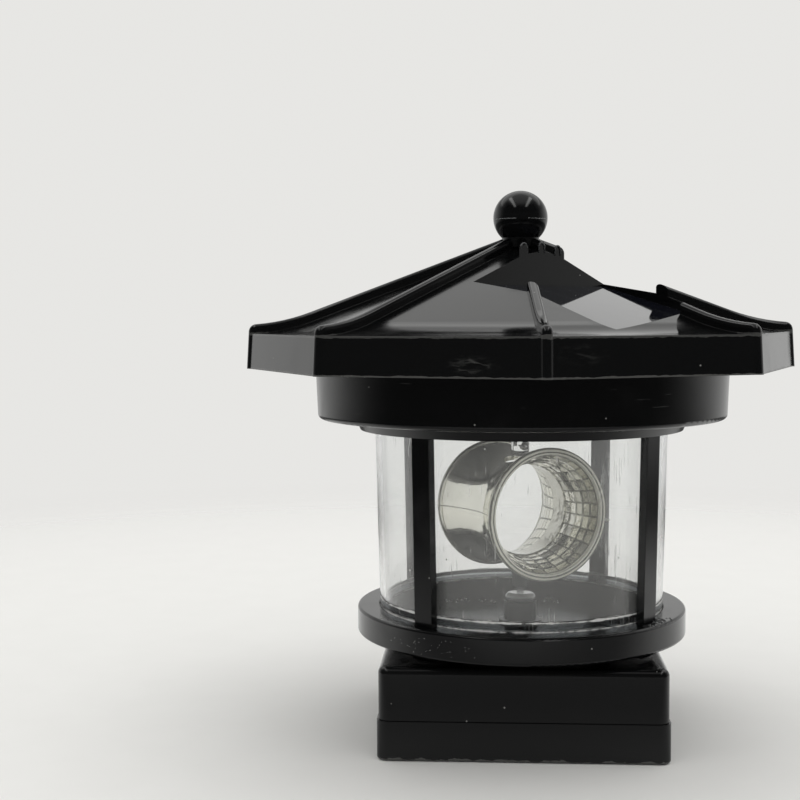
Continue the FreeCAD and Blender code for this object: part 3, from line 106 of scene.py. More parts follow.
def blend(tree, share, first, second):
    """A colour that goes from first to second with share."""
    ends = [(*colour, 1) if isinstance(colour, tuple) else colour for colour in (first, second)]
    return add(tree, "ShaderNodeMix", {"Factor": share, "A": ends[0], "B": ends[1]},
               data_type="RGBA").outputs["Result"]


def new_material(name):
    """A material with one Principled shader."""
    material = bpy.data.materials.new(name)
    material.use_nodes = True
    tree = material.node_tree
    tree.nodes.clear()
    shader = tree.nodes.new("ShaderNodeBsdfPrincipled")
    output = tree.nodes.new("ShaderNodeOutputMaterial")
    tree.links.new(shader.outputs[0], output.inputs["Surface"])
    return material, tree, shader, output


def new_group(name, outputs, inputs=()):
    """An effect that several finishes share, with its inputs and its outputs."""
    group = bpy.data.node_groups.new(name, "ShaderNodeTree")
    for label, kind, value in inputs:
        socket = group.interface.new_socket(label, in_out="INPUT", socket_type=kind)
        socket.default_value = value
    for label in outputs:
        group.interface.new_socket(label, in_out="OUTPUT", socket_type="NodeSocketFloat")
    return group, group.nodes.new("NodeGroupInput").outputs, group.nodes.new("NodeGroupOutput").inputs


def effect(tree, group, **inputs):
    """The outputs of a shared effect, with its inputs set."""
    node = add(tree, "ShaderNodeGroup", node_tree=group)
    for name, value in inputs.items():
        node.inputs[name].default_value = value
    return node.outputs


def paint(material, *names):
    """Give CAD nodes a material in place of their own."""
    for name in names:
        slots = NODES[name].data.materials
        if len(slots):
            for index in range(len(slots)):
                slots[index] = material
        else:
            slots.append(material)


# Moulded gloss: slow waviness of the flats, fine grain, and smudges that dull the polish.
gloss, gloss_in, gloss_out = new_group(
    "moulded_gloss", ("Height", "Roughness"),
    [("Roughness", "NodeSocketFloat", 0.14), ("Waviness", "NodeSocketFloat", 1.0)])
gloss_place = surface_place(gloss)
wave = noise(gloss, Vector=gloss_place, Scale=38.0, Detail=1.0, Roughness=0.4)
grain = noise(gloss, Vector=gloss_place, Scale=1400.0, Detail=2.0)
wave_part = calc(gloss, "MULTIPLY", calc(gloss, "MULTIPLY", wave, gloss_in["Waviness"]), 0.9)
gloss.links.new(calc(gloss, "MULTIPLY_ADD", grain, 0.02, wave_part), gloss_out["Height"])
smudge = noise(gloss, Vector=gloss_place, Scale=55.0, Detail=4.0, Distortion=0.6)
smudge_part = step(gloss, smudge, 0.48, 0.78, 0.0, 0.12)
gloss.links.new(calc(gloss, "ADD", smudge_part, gloss_in["Roughness"]), gloss_out["Roughness"])

# Dust: sparse pale specks that settle anywhere, each under half a millimetre across.
dust, dust_in, dust_out = new_group(
    "dust_specks", ("Amount",),
    [("Scale", "NodeSocketFloat", 420.0), ("Size", "NodeSocketFloat", 0.09),
     ("Density", "NodeSocketFloat", 0.05)])
cells = add(dust, "ShaderNodeTexVoronoi", {"Vector": surface_place(dust), "Scale": dust_in["Scale"]}).outputs
near = calc(dust, "LESS_THAN", cells["Distance"], dust_in["Size"])
shade = add(dust, "ShaderNodeSeparateColor", {"Color": cells["Color"]}).outputs[0]
chosen = calc(dust, "LESS_THAN", shade, dust_in["Density"])
dust.links.new(calc(dust, "MULTIPLY", near, chosen), dust_out["Amount"])

# Edge line: a ragged pale line at one height on upright faces, as flash and rubbed edges leave it,
# and also a painted highlight where an edge catches the light.
edge_line, line_in, line_out = new_group(
    "edge_line", ("Amount",),
    [("Height", "NodeSocketFloat", 0.1), ("Width", "NodeSocketFloat", 0.0003),
     ("Rags", "NodeSocketFloat", 0.5)])
line_place = surface_place(edge_line)
line_noise = noise(edge_line, Vector=line_place, Scale=260.0, Detail=3.0, Roughness=0.7)
line_off = calc(edge_line, "SUBTRACT", axes_of(edge_line, line_place)["Z"], line_in["Height"])
line_share = calc(edge_line, "DIVIDE", calc(edge_line, "ABSOLUTE", line_off), line_in["Width"])
line_level = calc(edge_line, "SUBTRACT", calc(edge_line, "SUBTRACT", line_noise, line_in["Rags"]),
                  calc(edge_line, "MULTIPLY", line_share, 0.12))
line_normal = add(edge_line, "ShaderNodeTexCoord").outputs["Normal"]
line_lean = calc(edge_line, "ABSOLUTE", axes_of(edge_line, line_normal)["Z"])
line_upright = step(edge_line, line_lean, 0.55, 0.80, 1.0, 0.0)
edge_line.links.new(calc(edge_line, "MULTIPLY", step(edge_line, line_level, 0.0, 0.06), line_upright),
                    line_out["Amount"])


def wear_and_highlight_line(height, width, rags, strength):
    """A ragged pale line for a black finish, for wear and flash and also for painted highlights on edges: its
    height and width in mm, and how broken it is.
    """
    return edge_line, {"Height": height * MM, "Width": width * MM, "Rags": rags}, strength


def black_plastic(name, roughness, waviness, tint=(0.0030, 0.0032, 0.0034), specks=0.03, round_mm=0.2,
                  marks=()):
    """Glossy black ABS with dust and with marks, each an effect, its inputs and its strength."""
    material, tree, shader, _ = new_material(name)
    surface = effect(tree, gloss, Roughness=roughness, Waviness=waviness)
    pale = effect(tree, dust, Density=specks)["Amount"]
    for group, inputs, strength in marks:
        mark = effect(tree, group, **inputs)["Amount"]
        pale = calc(tree, "MAXIMUM", pale, calc(tree, "MULTIPLY", mark, strength))
    tree.links.new(blend(tree, pale, tint, (0.20, 0.20, 0.19)), shader.inputs["Base Color"])
    dull = calc(tree, "MULTIPLY_ADD", pale, 0.35, surface["Roughness"])
    tree.links.new(dull, shader.inputs["Roughness"])
    rounded = add(tree, "ShaderNodeBevel", {"Radius": round_mm * MM}, samples=4)
    bump = add(tree, "ShaderNodeBump", {"Height": surface["Height"], "Strength": 0.35,
                                        "Distance": 0.12 * MM, "Normal": rounded.outputs["Normal"]})
    tree.links.new(bump.outputs["Normal"], shader.inputs["Normal"])
    shader.inputs["IOR"].default_value = 1.53
    return material


base_black = black_plastic("base_black", 0.15, 0.6, marks=(wear_and_highlight_line(0.1, 0.35, 0.25, 0.3),))
paint(base_black, "base_tray", "base_cover", "battery_door")

# ------------------------------------------------------------------ plated steel pieces
# The screws that hold base, deck, cage, drum and roof together, the battery's contacts, the
# motor's can and the ground shaft are all bright plated steel.
steel, tree, shader, _ = new_material("steel")
shader.inputs["Base Color"].default_value = (0.55, 0.55, 0.56, 1)
shader.inputs["Metallic"].default_value = 1.0
surface = effect(tree, gloss, Roughness=0.25)
tree.links.new(surface["Roughness"], shader.inputs["Roughness"])
paint(steel, "rotor_shaft", "base_screws", "deck_screws", "cage_screws", "roof_screws", "gearbox_screws",
      "board_screws", "battery_door_screw", "contact_plates", "contact_spring", "gear_motor")


# ------------------------------------------------------------------ cell, boards and gearbox
# Inside the base lie the green-sleeved AA cell, a green control board and a pale gearbox
# moulded in acetal. A small board of the same kind carries the lamp inside the drum.
def two_tone(name, scale, first, second, roughness, *nodes):
    """A matte finish with a fine mottle between two tones."""
    material, tree, shader, _ = new_material(name)
    tree.links.new(blend(tree, noise(tree, Scale=scale), first, second), shader.inputs["Base Color"])
    shader.inputs["Roughness"].default_value = roughness
    paint(material, *nodes)


two_tone("cell_green", 90.0, (0.05, 0.20, 0.09), (0.06, 0.24, 0.11), 0.3, "battery_cell")
two_tone("board_green", 600.0, (0.02, 0.12, 0.04), (0.03, 0.17, 0.06), 0.35, "control_board", "led_board")
two_tone("gear_white", 300.0, (0.66, 0.66, 0.62), (0.72, 0.72, 0.69), 0.5, "gearbox")

# ------------------------------------------------------------------ switch, bearing post, holder
# The switch's case and knob in the base, the pillar that guides the shaft on the deck, and
# the lamp's holder are moulded in the same dark, satin acetal, and each is pressed in place.
bearing_black = black_plastic("bearing_black", 0.30, 0.2, tint=(0.018, 0.021, 0.022))
paint(bearing_black, "bearing_post", "led_holder", "switch_body", "switch_knob")

# ------------------------------------------------------------------ deck
# A round black dish with a sunken floor, screwed to the neck of the base. Its rim has the
# slots for the cage's posts, and its top edge is rubbed pale in places.
deck_black = black_plastic("deck_black", 0.16, 0.7, specks=0.05, marks=(wear_and_highlight_line(33.5, 0.16, 0.55, 0.5),))
paint(deck_black, "deck")

# ------------------------------------------------------------------ hub
# A glossy cap of smoky plastic, pressed on the shaft just above the bearing post. Its
# shoulder is painted lighter grey, a painted highlight where the light catches it.
HUB_SHOULDER_LOW = 35.1 * MM
HUB_SHOULDER_HIGH = 35.7 * MM
hub_clear, tree, shader, _ = new_material("hub_clear")
# Painted highlight: a lighter grey band on the shoulder.
hub_shoulder_highlight = step(tree, axes_of(tree, surface_place(tree))["Z"], HUB_SHOULDER_LOW, HUB_SHOULDER_HIGH)
hub_tone_and_highlight = blend(tree, hub_shoulder_highlight, (0.035, 0.040, 0.042), (0.24, 0.25, 0.245))
tree.links.new(hub_tone_and_highlight, shader.inputs["Base Color"])
shader.inputs["Roughness"].default_value = 0.08
shader.inputs["Coat Weight"].default_value = 0.8
shader.inputs["Coat Roughness"].default_value = 0.03
paint(hub_clear, "rotor_hub")


# ------------------------------------------------------------------ reflector
# Two trumpet horns back to back on one waist, moulded in clear plastic and metallised like a
# torch reflector, with flat facets inside. The rims, and the stem that sits on the shaft,
# stay plain. A nub is left on the front rim, where it was cut off its runner.
def vector(tree, operation, first, second=(0.0, 0.0, 0.0), output=0):
    """One step of arithmetic on a place or a direction."""
    return add(tree, "ShaderNodeVectorMath", {0: first, 1: second}, operation=operation).outputs[output]


def between(tree, share, first, second):
    """A number that goes from first to second with share."""
    return add(tree, "ShaderNodeMix", {0: share, 2: first, 3: second}).outputs[0]


HORN_TURN = math.radians(-61.5)
HORN_HEIGHT = 59.8 * MM
HORN_HALF = 15.5 * MM
RIM_BAND = 1.1 * MM
WAIST_BAND = 3.0 * MM
STEM_TOP = -14.0 * MM
STEM_SIDE = 3.6 * MM
RING_PITCH = 0.95 * MM
FACETS = 26
FACET_ROWS = 5
ROW_LENGTH = (HORN_HALF - RIM_BAND - WAIST_BAND) / FACET_ROWS
reflector_metal, tree, shader, _ = new_material("reflector_metal")
horn_place = surface_place(tree)
horn_mapped = add(tree, "ShaderNodeMapping",
                  {"Vector": horn_place, "Location": (0.0, 0.0, HORN_HEIGHT),
                   "Rotation": (0.0, 0.0, HORN_TURN)}, vector_type="TEXTURE").outputs[0]
horn_axes = axes_of(tree, horn_mapped)
along = calc(tree, "ABSOLUTE", horn_axes["X"])
rim = step(tree, along, HORN_HALF - 1.25 * MM, HORN_HALF - 1.05 * MM)
stem = calc(tree, "MULTIPLY", step(tree, horn_axes["Z"], STEM_TOP - 0.6 * MM, STEM_TOP, 1.0, 0.0),
            step(tree, along, STEM_SIDE, STEM_SIDE + 1.0 * MM, 1.0, 0.0))
plain = calc(tree, "MAXIMUM", rim, stem)
metal = calc(tree, "SUBTRACT", 1.0, plain)
film = noise(tree, Vector=horn_place, Scale=240.0, Detail=4.0)
film_tone = blend(tree, film, (0.86, 0.85, 0.75), (0.98, 0.97, 0.90))
# Rings round the rim's roll, painted light and shade: cream where the clear plastic is thick, dark olive
# where one looks into it, for the light seen through it.
horn_radial = vector(tree, "MULTIPLY", horn_mapped, (0.0, 1.0, 1.0))
horn_out = vector(tree, "LENGTH", horn_radial, output="Value")
ring_wobble = calc(tree, "MULTIPLY_ADD", film, 0.25 * MM, horn_out)
rings = calc(tree, "SINE", calc(tree, "MULTIPLY", ring_wobble, 2.0 * math.pi / RING_PITCH))
ring_painted_light = blend(tree, step(tree, rings, -0.65, 0.15), (0.12, 0.12, 0.09), (1.0, 0.99, 0.88))
plain_tone_and_rim_light = blend(tree, rim, (0.10, 0.11, 0.11), ring_painted_light)
# Inside, the film is thin along the edges of each facet. Outside there is only the mould's
# seam.
horn_normal = add(tree, "ShaderNodeMapping",
                  {"Vector": add(tree, "ShaderNodeTexCoord").outputs["Normal"],
                   "Rotation": (0.0, 0.0, HORN_TURN)}, vector_type="TEXTURE").outputs[0]
inside = calc(tree, "LESS_THAN", vector(tree, "DOT_PRODUCT", horn_normal, horn_radial, "Value"), 0.0)
facet_turn = calc(tree, "ARCTAN2", horn_axes["Y"], horn_axes["Z"])
facet_share = calc(tree, "MULTIPLY", facet_turn, FACETS / (2.0 * math.pi))
row_share = calc(tree, "DIVIDE", calc(tree, "SUBTRACT", along, WAIST_BAND), ROW_LENGTH)
facet_line = calc(tree, "MAXIMUM", step(tree, calc(tree, "PINGPONG", facet_share, 0.5), 0.03, 0.12, 1.0, 0.0),
                  step(tree, calc(tree, "PINGPONG", row_share, 0.5), 0.04, 0.14, 1.0, 0.0))
facet_line = calc(tree, "MULTIPLY", facet_line, step(tree, along, WAIST_BAND - 0.2 * MM, WAIST_BAND))
facet_line = calc(tree, "MULTIPLY", facet_line, inside)
seam = step(tree, calc(tree, "ABSOLUTE", horn_axes["Z"]), 0.05 * MM, 0.20 * MM, 1.0, 0.0)
seam = calc(tree, "MULTIPLY", seam, calc(tree, "SUBTRACT", 1.0, inside))
thin_film = calc(tree, "MULTIPLY", calc(tree, "MAXIMUM", facet_line, seam), 0.75)
film_tone = blend(tree, thin_film, film_tone, (0.07, 0.07, 0.05))
tree.links.new(blend(tree, plain, film_tone, plain_tone_and_rim_light), shader.inputs["Base Color"])
# On the facets, and most in the waist, the pale plastic shows through the film.
waist_share = calc(tree, "MULTIPLY", step(tree, along, WAIST_BAND, WAIST_BAND + 0.4 * MM, 1.0, 0.0), inside)
facet_cell = add(tree, "ShaderNodeCombineXYZ",
                 {0: calc(tree, "FLOOR", facet_share), 1: calc(tree, "FLOOR", row_share)}).outputs[0]
facet_chance = add(tree, "ShaderNodeTexWhiteNoise", {"Vector": facet_cell}).outputs["Value"]
film_cover = between(tree, inside, 0.92, calc(tree, "MULTIPLY_ADD", facet_chance, 0.35, 0.65))
film_cover = between(tree, waist_share, film_cover, 0.55)
tree.links.new(calc(tree, "MULTIPLY", metal, film_cover), shader.inputs["Metallic"])
tree.links.new(calc(tree, "MULTIPLY", plain, 0.8), shader.inputs["Coat Weight"])
shader.inputs["Coat Roughness"].default_value = 0.04
tree.links.new(step(tree, film, 0.35, 0.75, 0.03, 0.12), shader.inputs["Roughness"])
horn_wave = noise(tree, Vector=horn_place, Scale=330.0, Detail=2.0)
facet_wave = calc(tree, "MULTIPLY", noise(tree, Vector=horn_place, Scale=900.0, Detail=1.0), inside)
bump = add(tree, "ShaderNodeBump", {"Height": calc(tree, "MULTIPLY_ADD", facet_wave, 1.3, horn_wave),
                                    "Strength": 0.6, "Distance": 0.13 * MM})
tree.links.new(bump.outputs["Normal"], shader.inputs["Normal"])
paint(reflector_metal, "reflector")


def new_piece(name, bm, material, body):
    """Link a mesh as a piece that rides on a body."""
    mesh = bpy.data.meshes.new(name)
    bm.to_mesh(mesh)
    bm.free()
    for face in mesh.polygons:
        face.use_smooth = True
    mesh.materials.append(material)
    piece = bpy.data.objects.new(name, mesh)
    bpy.context.scene.collection.objects.link(piece)
    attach(piece, body)


def cone(bm, segments, low_radius, high_radius, depth):
    """A closed cone frustum, centred, and its corners."""
    return bmesh.ops.create_cone(bm, cap_ends=True, segments=segments, radius1=low_radius,
                                 radius2=high_radius, depth=depth)["verts"]


crumb_pale, tree, shader, _ = new_material("crumb_pale")
tree.links.new(blend(tree, noise(tree, Scale=2500.0), (0.70, 0.70, 0.68), (0.95, 0.95, 0.92)),
               shader.inputs["Base Color"])
shader.inputs["Roughness"].default_value = 0.4

NUB_PLACE = Vector((23.3, -5.2, 57.4)) * MM
NUB_LEAN = math.radians(100)
NUB_ROOT = 0.45 * MM
NUB_TIP = 0.22 * MM
NUB_LENGTH = 1.3 * MM
nub = bmesh.new()
nub_corners = cone(nub, 8, NUB_ROOT, NUB_TIP, NUB_LENGTH)
bmesh.ops.rotate(nub, verts=nub_corners, matrix=Matrix.Rotation(NUB_LEAN, 3, "Y"))
bmesh.ops.translate(nub, verts=nub_corners, vec=NUB_PLACE)
new_piece("horn_nub", nub, crumb_pale, "beacon")

# ------------------------------------------------------------------ lens tube
# A clear, slightly tapered tube of polystyrene that stands in a seat in the deck's rim, with
# a thicker foot painted dark grey, a painted reflection of the dark deck. It has fine upright hairlines,
# a few specks and a faint milkiness, and thin pale painted highlights above and below the foot.
scratches, scratch_in, scratch_out = new_group(
    "hair_scratches", ("Amount",),
    [("Across", "NodeSocketVector", (1.0, 1.0, 0.05)), ("Level", "NodeSocketFloat", 0.70)])
scratch_place = surface_place(scratches)
scratch_flat = vector(scratches, "MULTIPLY", scratch_place, scratch_in["Across"])
scratch_noise = noise(scratches, Vector=scratch_flat, Scale=1500.0, Detail=1.0)
scratch_some = step(scratches, noise(scratches, Vector=scratch_place, Scale=90.0), 0.5, 0.65)
scratch_line = step(scratches, calc(scratches, "SUBTRACT", scratch_noise, scratch_in["Level"]), 0.0, 0.03)
scratches.links.new(calc(scratches, "MULTIPLY", scratch_line, scratch_some), scratch_out["Amount"])


def clear_plastic(name, tint, scratch_level, specks, haze, foot=0.0, marks=()):
    """Clear plastic, painted dark grey below its foot's height as a painted reflection. Light for shadows
    passes straight through.
    """
    material, tree, shader, output = new_material(name)
    shader.inputs["Transmission Weight"].default_value = 1.0
    shader.inputs["Roughness"].default_value = 0.0
    shader.inputs["IOR"].default_value = 1.49
    surface = effect(tree, gloss, Roughness=0.0, Waviness=0.6)
    hairlines = effect(tree, scratches, Level=scratch_level)["Amount"]
    relief = calc(tree, "MULTIPLY_ADD", hairlines, 0.5, surface["Height"])
    bump = add(tree, "ShaderNodeBump", {"Height": relief, "Strength": 0.12, "Distance": 0.1 * MM})
    tree.links.new(bump.outputs["Normal"], shader.inputs["Normal"])
    above_foot = step(tree, axes_of(tree, surface_place(tree))["Z"], foot - 0.4 * MM, foot)
    # Painted reflection: below the foot the colour is dark grey, for the dark deck that the foot reflects.
    tree.links.new(blend(tree, above_foot, (0.32, 0.34, 0.35), tint), shader.inputs["Base Color"])
    milky = add(tree, "ShaderNodeBsdfPrincipled", {"Base Color": (0.88, 0.88, 0.86, 1), "Roughness": 0.5})
    pale = calc(tree, "MULTIPLY", effect(tree, dust, Density=specks, Size=0.12)["Amount"], 0.8)
    pale = calc(tree, "MAXIMUM", pale, calc(tree, "MULTIPLY", hairlines, 0.35))
    for group, inputs, strength in marks:
        mark = effect(tree, group, **inputs)["Amount"]
        pale = calc(tree, "MAXIMUM", pale, calc(tree, "MULTIPLY", mark, strength))
    pale = calc(tree, "MAXIMUM", pale, calc(tree, "MULTIPLY_ADD", above_foot, haze * 0.8, haze * 0.2))
    marked = add(tree, "ShaderNodeMixShader", {0: pale, 1: shader.outputs[0], 2: milky.outputs[0]})
    shadow_ray = add(tree, "ShaderNodeLightPath").outputs["Is Shadow Ray"]
    clear = add(tree, "ShaderNodeBsdfTransparent", {"Color": (0.92, 0.93, 0.93, 1)})
    mixed = add(tree, "ShaderNodeMixShader", {0: shadow_ray, 1: marked.outputs[0], 2: clear.outputs[0]})
    tree.links.new(mixed.outputs[0], output.inputs["Surface"])
    return material


LENS_FOOT = 35.8 * MM
# Painted highlights: the pale lines at 36.0 mm and 33.7 mm stand in for glints on the foot's edges.
lens_clear = clear_plastic("lens_clear", (0.985, 0.99, 0.99), 0.66, 0.02, 0.07, LENS_FOOT,
                           (wear_and_highlight_line(36.0, 0.14, 0.30, 0.75), wear_and_highlight_line(33.7, 0.12, 0.34, 0.75)))
paint(lens_clear, "lens_tube")

# ------------------------------------------------------------------ cage of posts
# A black ring with four flat posts, moulded in one. The ring holds the lens tube down, and
# the posts pass through the deck's rim and hook under it.
post_black = black_plastic("post_black", 0.15, 0.5, round_mm=0.15)
paint(post_black, "post_cage")

# ------------------------------------------------------------------ drum
# A shallow black drum that is screwed to the cage's ring and reaches up inside the roof. Its
# side has faint level scratches from handling.
drum_black = black_plastic("drum_black", 0.17, 0.5,
                           marks=((scratches, {"Across": (0.05, 0.05, 1.0), "Level": 0.70}, 0.12),))
paint(drum_black, "lamp_drum")

# ------------------------------------------------------------------ lamp
# A clear 5 mm lamp that hangs from its holder in the drum. Two steel leads are cast in it:
# one carries the cup with the chip, the other ends in a flat post beside it.
lamp_clear = clear_plastic("lamp_clear", (0.95, 0.955, 0.95), 0.95, 0.0, 0.0)
paint(lamp_clear, "led")

LEADS = ((-0.9 * MM, 0.56 * MM), (0.85 * MM, 0.84 * MM))
LEAD_THICKNESS = 0.5 * MM
LEAD_RISE = 3.1 * MM
LEAD_INSET = 0.4 * MM
CUP_RISE = 3.0 * MM
CUP_OFF = 0.55 * MM
CUP_MOUTH = 1.05 * MM
CUP_FOOT = 0.55 * MM
CUP_DEPTH = 0.9 * MM
lamp = NODES["led"]
lamp_heights = [(lamp.matrix_world @ Vector(corner)).z for corner in lamp.bound_box]
lead_low = min(lamp_heights) + LEAD_RISE
lead_high = max(lamp_heights) - LEAD_INSET
leads = bmesh.new()
for lead_x, lead_width in LEADS:
    lead = bmesh.ops.create_cube(leads, size=1.0)["verts"]
    bmesh.ops.scale(leads, verts=lead, vec=(lead_width, LEAD_THICKNESS, lead_high - lead_low))
    bmesh.ops.translate(leads, verts=lead, vec=(lead_x, 0.0, (lead_high + lead_low) / 2))
cup = cone(leads, 20, CUP_MOUTH, CUP_FOOT, CUP_DEPTH)
bmesh.ops.rotate(leads, verts=cup, matrix=Matrix.Rotation(math.pi, 3, "X"))
bmesh.ops.translate(leads, verts=cup, vec=(CUP_OFF, 0.0, min(lamp_heights) + CUP_RISE))
new_piece("lamp_leads", leads, steel, "head")

# ------------------------------------------------------------------ roof
# One glossy black moulding: eight faces that sweep out to an upright edge band, half-round
# ridges on the hips, and a recess for the panel. The band is smeared by fingers, and thin
# grey flash from the mould hangs at its lower edge.
smear, smear_in, smear_out = new_group(
    "smear_patch", ("Amount",),
    [("Middle", "NodeSocketVector", (0.0, 0.0, 0.0)), ("Reach", "NodeSocketFloat", 0.006)])
smear_place = surface_place(smear)
smear_off = vector(smear, "SUBTRACT", smear_place, smear_in["Middle"])
smear_far = vector(smear, "LENGTH", vector(smear, "MULTIPLY", smear_off, (1.0, 1.0, 2.6)), output="Value")
smear_soft = step(smear, calc(smear, "DIVIDE", smear_far, smear_in["Reach"]), 0.2, 1.0, 1.0, 0.0)
smear_streak = vector(smear, "MULTIPLY", smear_place, (1.0, 1.0, 4.0))
smear_noise = noise(smear, Vector=smear_streak, Scale=230.0, Detail=3.0, Distortion=1.2)
smear_part = calc(smear, "MULTIPLY", smear_soft, step(smear, smear_noise, 0.45, 0.75))
smear.links.new(smear_part, smear_out["Amount"])


def grease(x, y, z, reach, strength):
    """A smear for a black finish: its middle and reach in mm."""
    return smear, {"Middle": (x * MM, y * MM, z * MM), "Reach": reach * MM}, strength


# Painted highlight: the pale line at 108.05 mm along the band's top edge stands in for the edge's highlight.
# The line at 98.6 mm is flash.
shell_black = black_plastic("shell_black", 0.12, 1.0,
                            marks=(grease(-12.0, -68.5, 101.6, 7.0, 0.22),
                                   grease(14.0, -73.5, 104.0, 9.0, 0.10),
                                   wear_and_highlight_line(98.6, 0.12, 0.16, 0.30),
                                   wear_and_highlight_line(108.05, 0.14, 0.10, 0.22)))
paint(shell_black, "roof_shell")

flash_grey, tree, shader, _ = new_material("flash_grey")
flash_noise = noise(tree, Scale=900.0, Detail=2.0)
tree.links.new(blend(tree, step(tree, flash_noise, 0.40, 0.62), (0.02, 0.02, 0.02), (0.36, 0.37, 0.37)),
               shader.inputs["Base Color"])
shader.inputs["Roughness"].default_value = 0.35


def thread(name, points, radius, material, sides):
    """A thin closed rod along points on the head, tapered at its ends."""
    bm = bmesh.new()
    rings = []
    last = len(points) - 1
    for index, point in enumerate(points):
        forward = (points[min(index + 1, last)] - points[max(index - 1, 0)]).normalized()
        side = forward.cross(Vector((0.0, 0.0, 1.0)))
        if side.length < 0.1:
            side = forward.cross(Vector((1.0, 0.0, 0.0)))
        side.normalize()
        up = side.cross(forward)
        thickness = radius * (0.35 if index in (0, last) else 1.0)
        ring = []
        for corner in range(sides):
            turn = 2.0 * math.pi * corner / sides
            ring.append(bm.verts.new(point + (side * math.cos(turn) + up * math.sin(turn)) * thickness))
        rings.append(ring)
    for near_ring, far_ring in zip(rings, rings[1:]):
        for corner in range(sides):
            following = (corner + 1) % sides
            bm.faces.new((near_ring[corner], near_ring[following], far_ring[following], far_ring[corner]))
    bm.faces.new(list(reversed(rings[0])))
    bm.faces.new(rings[-1])
    bmesh.ops.recalc_face_normals(bm, faces=bm.faces)
    new_piece(name, bm, material, "head")


chance = random.Random(11)
BAND_NORMAL = Vector((-0.327, -0.945, 0.0))
BAND_ALONG = Vector((0.945, -0.327, 0.0))
BAND_OUT = 68.55 * MM
BAND_LOW = 98.62 * MM
FLASH_STEPS = 26
FLASH_STRETCHES = ((-24.5 * MM, -14.0 * MM), (-12.5 * MM, -5.5 * MM), (9.0 * MM, 14.0 * MM))
for index, (start, end) in enumerate(FLASH_STRETCHES):
    flash_line = []
    for number in range(FLASH_STEPS + 1):
        along_band = start + (end - start) * number / FLASH_STEPS
        drop = (0.10 * math.sin(number * 1.7) + chance.uniform(-0.14, 0.14)) * 0.5 * MM
        flash_line.append(BAND_NORMAL * (BAND_OUT + drop) + BAND_ALONG * along_band
                          + Vector((0.0, 0.0, BAND_LOW + drop)))
    thread("fascia_flash_%d" % index, flash_line, 0.10 * MM, flash_grey, 6)

# ------------------------------------------------------------------ solar panel
# A dark plate of cells under clear resin, laid in the roof's recess. The cells' fine silver
# fingers and the joints between them show faintly through the gloss.
PANEL_TURN = math.radians(-41.6)
FINGER_STEP = 0.9 * MM
JOINT_STEP = 5.4 * MM
panel_dark, tree, shader, _ = new_material("panel")
panel_place = surface_place(tree)
panel_mapped = add(tree, "ShaderNodeMapping", {"Vector": panel_place, "Rotation": (0.0, 0.0, PANEL_TURN)},
                   vector_type="TEXTURE").outputs[0]
panel_axes = axes_of(tree, panel_mapped)
fingers = calc(tree, "PINGPONG", panel_axes["X"], FINGER_STEP)
finger = step(tree, fingers, 0.04 * MM, 0.09 * MM, 1.0, 0.0)
joints = calc(tree, "PINGPONG", calc(tree, "ADD", panel_axes["Y"], JOINT_STEP), JOINT_STEP)
joint = step(tree, joints, 0.15 * MM, 0.28 * MM, 1.0, 0.0)
cell_lines = calc(tree, "MAXIMUM", calc(tree, "MULTIPLY", finger, 0.35), joint)
cell_tone = blend(tree, noise(tree, Vector=panel_place, Scale=120.0, Detail=3.0),
                  (0.006, 0.007, 0.012), (0.011, 0.012, 0.019))
tree.links.new(blend(tree, cell_lines, cell_tone, (0.045, 0.047, 0.052)), shader.inputs["Base Color"])
surface = effect(tree, gloss, Roughness=0.04, Waviness=0.15)
tree.links.new(surface["Roughness"], shader.inputs["Roughness"])
shader.inputs["Coat Weight"].default_value = 0.6
shader.inputs["Coat Roughness"].default_value = 0.03
paint(panel_dark, "solar_panel")

# ------------------------------------------------------------------ ball
# A black ball on a short neck, pegged into the top of the roof. The mould's parting line
# stands a little proud round its middle, broken where it was rubbed off.
paint(shell_black, "finial_ball")

BALL_RADIUS = 7.32 * MM
PARTING_HEIGHT = 138.75 * MM
PARTING_STEPS = 24
PARTING_STRETCHES = ((-164.0, -98.0), (-76.0, -22.0), (10.0, 150.0))
for index, (start, end) in enumerate(PARTING_STRETCHES):
    parting = []
    for number in range(PARTING_STEPS + 1):
        turn = math.radians(start + (end - start) * number / PARTING_STEPS)
        out = BALL_RADIUS + chance.uniform(-0.03, 0.03) * MM
        parting.append(Vector((out * math.cos(turn), out * math.sin(turn),
                               PARTING_HEIGHT + chance.uniform(-0.04, 0.04) * MM)))
    thread("ball_parting_%d" % index, parting, 0.11 * MM, flash_grey, 5)

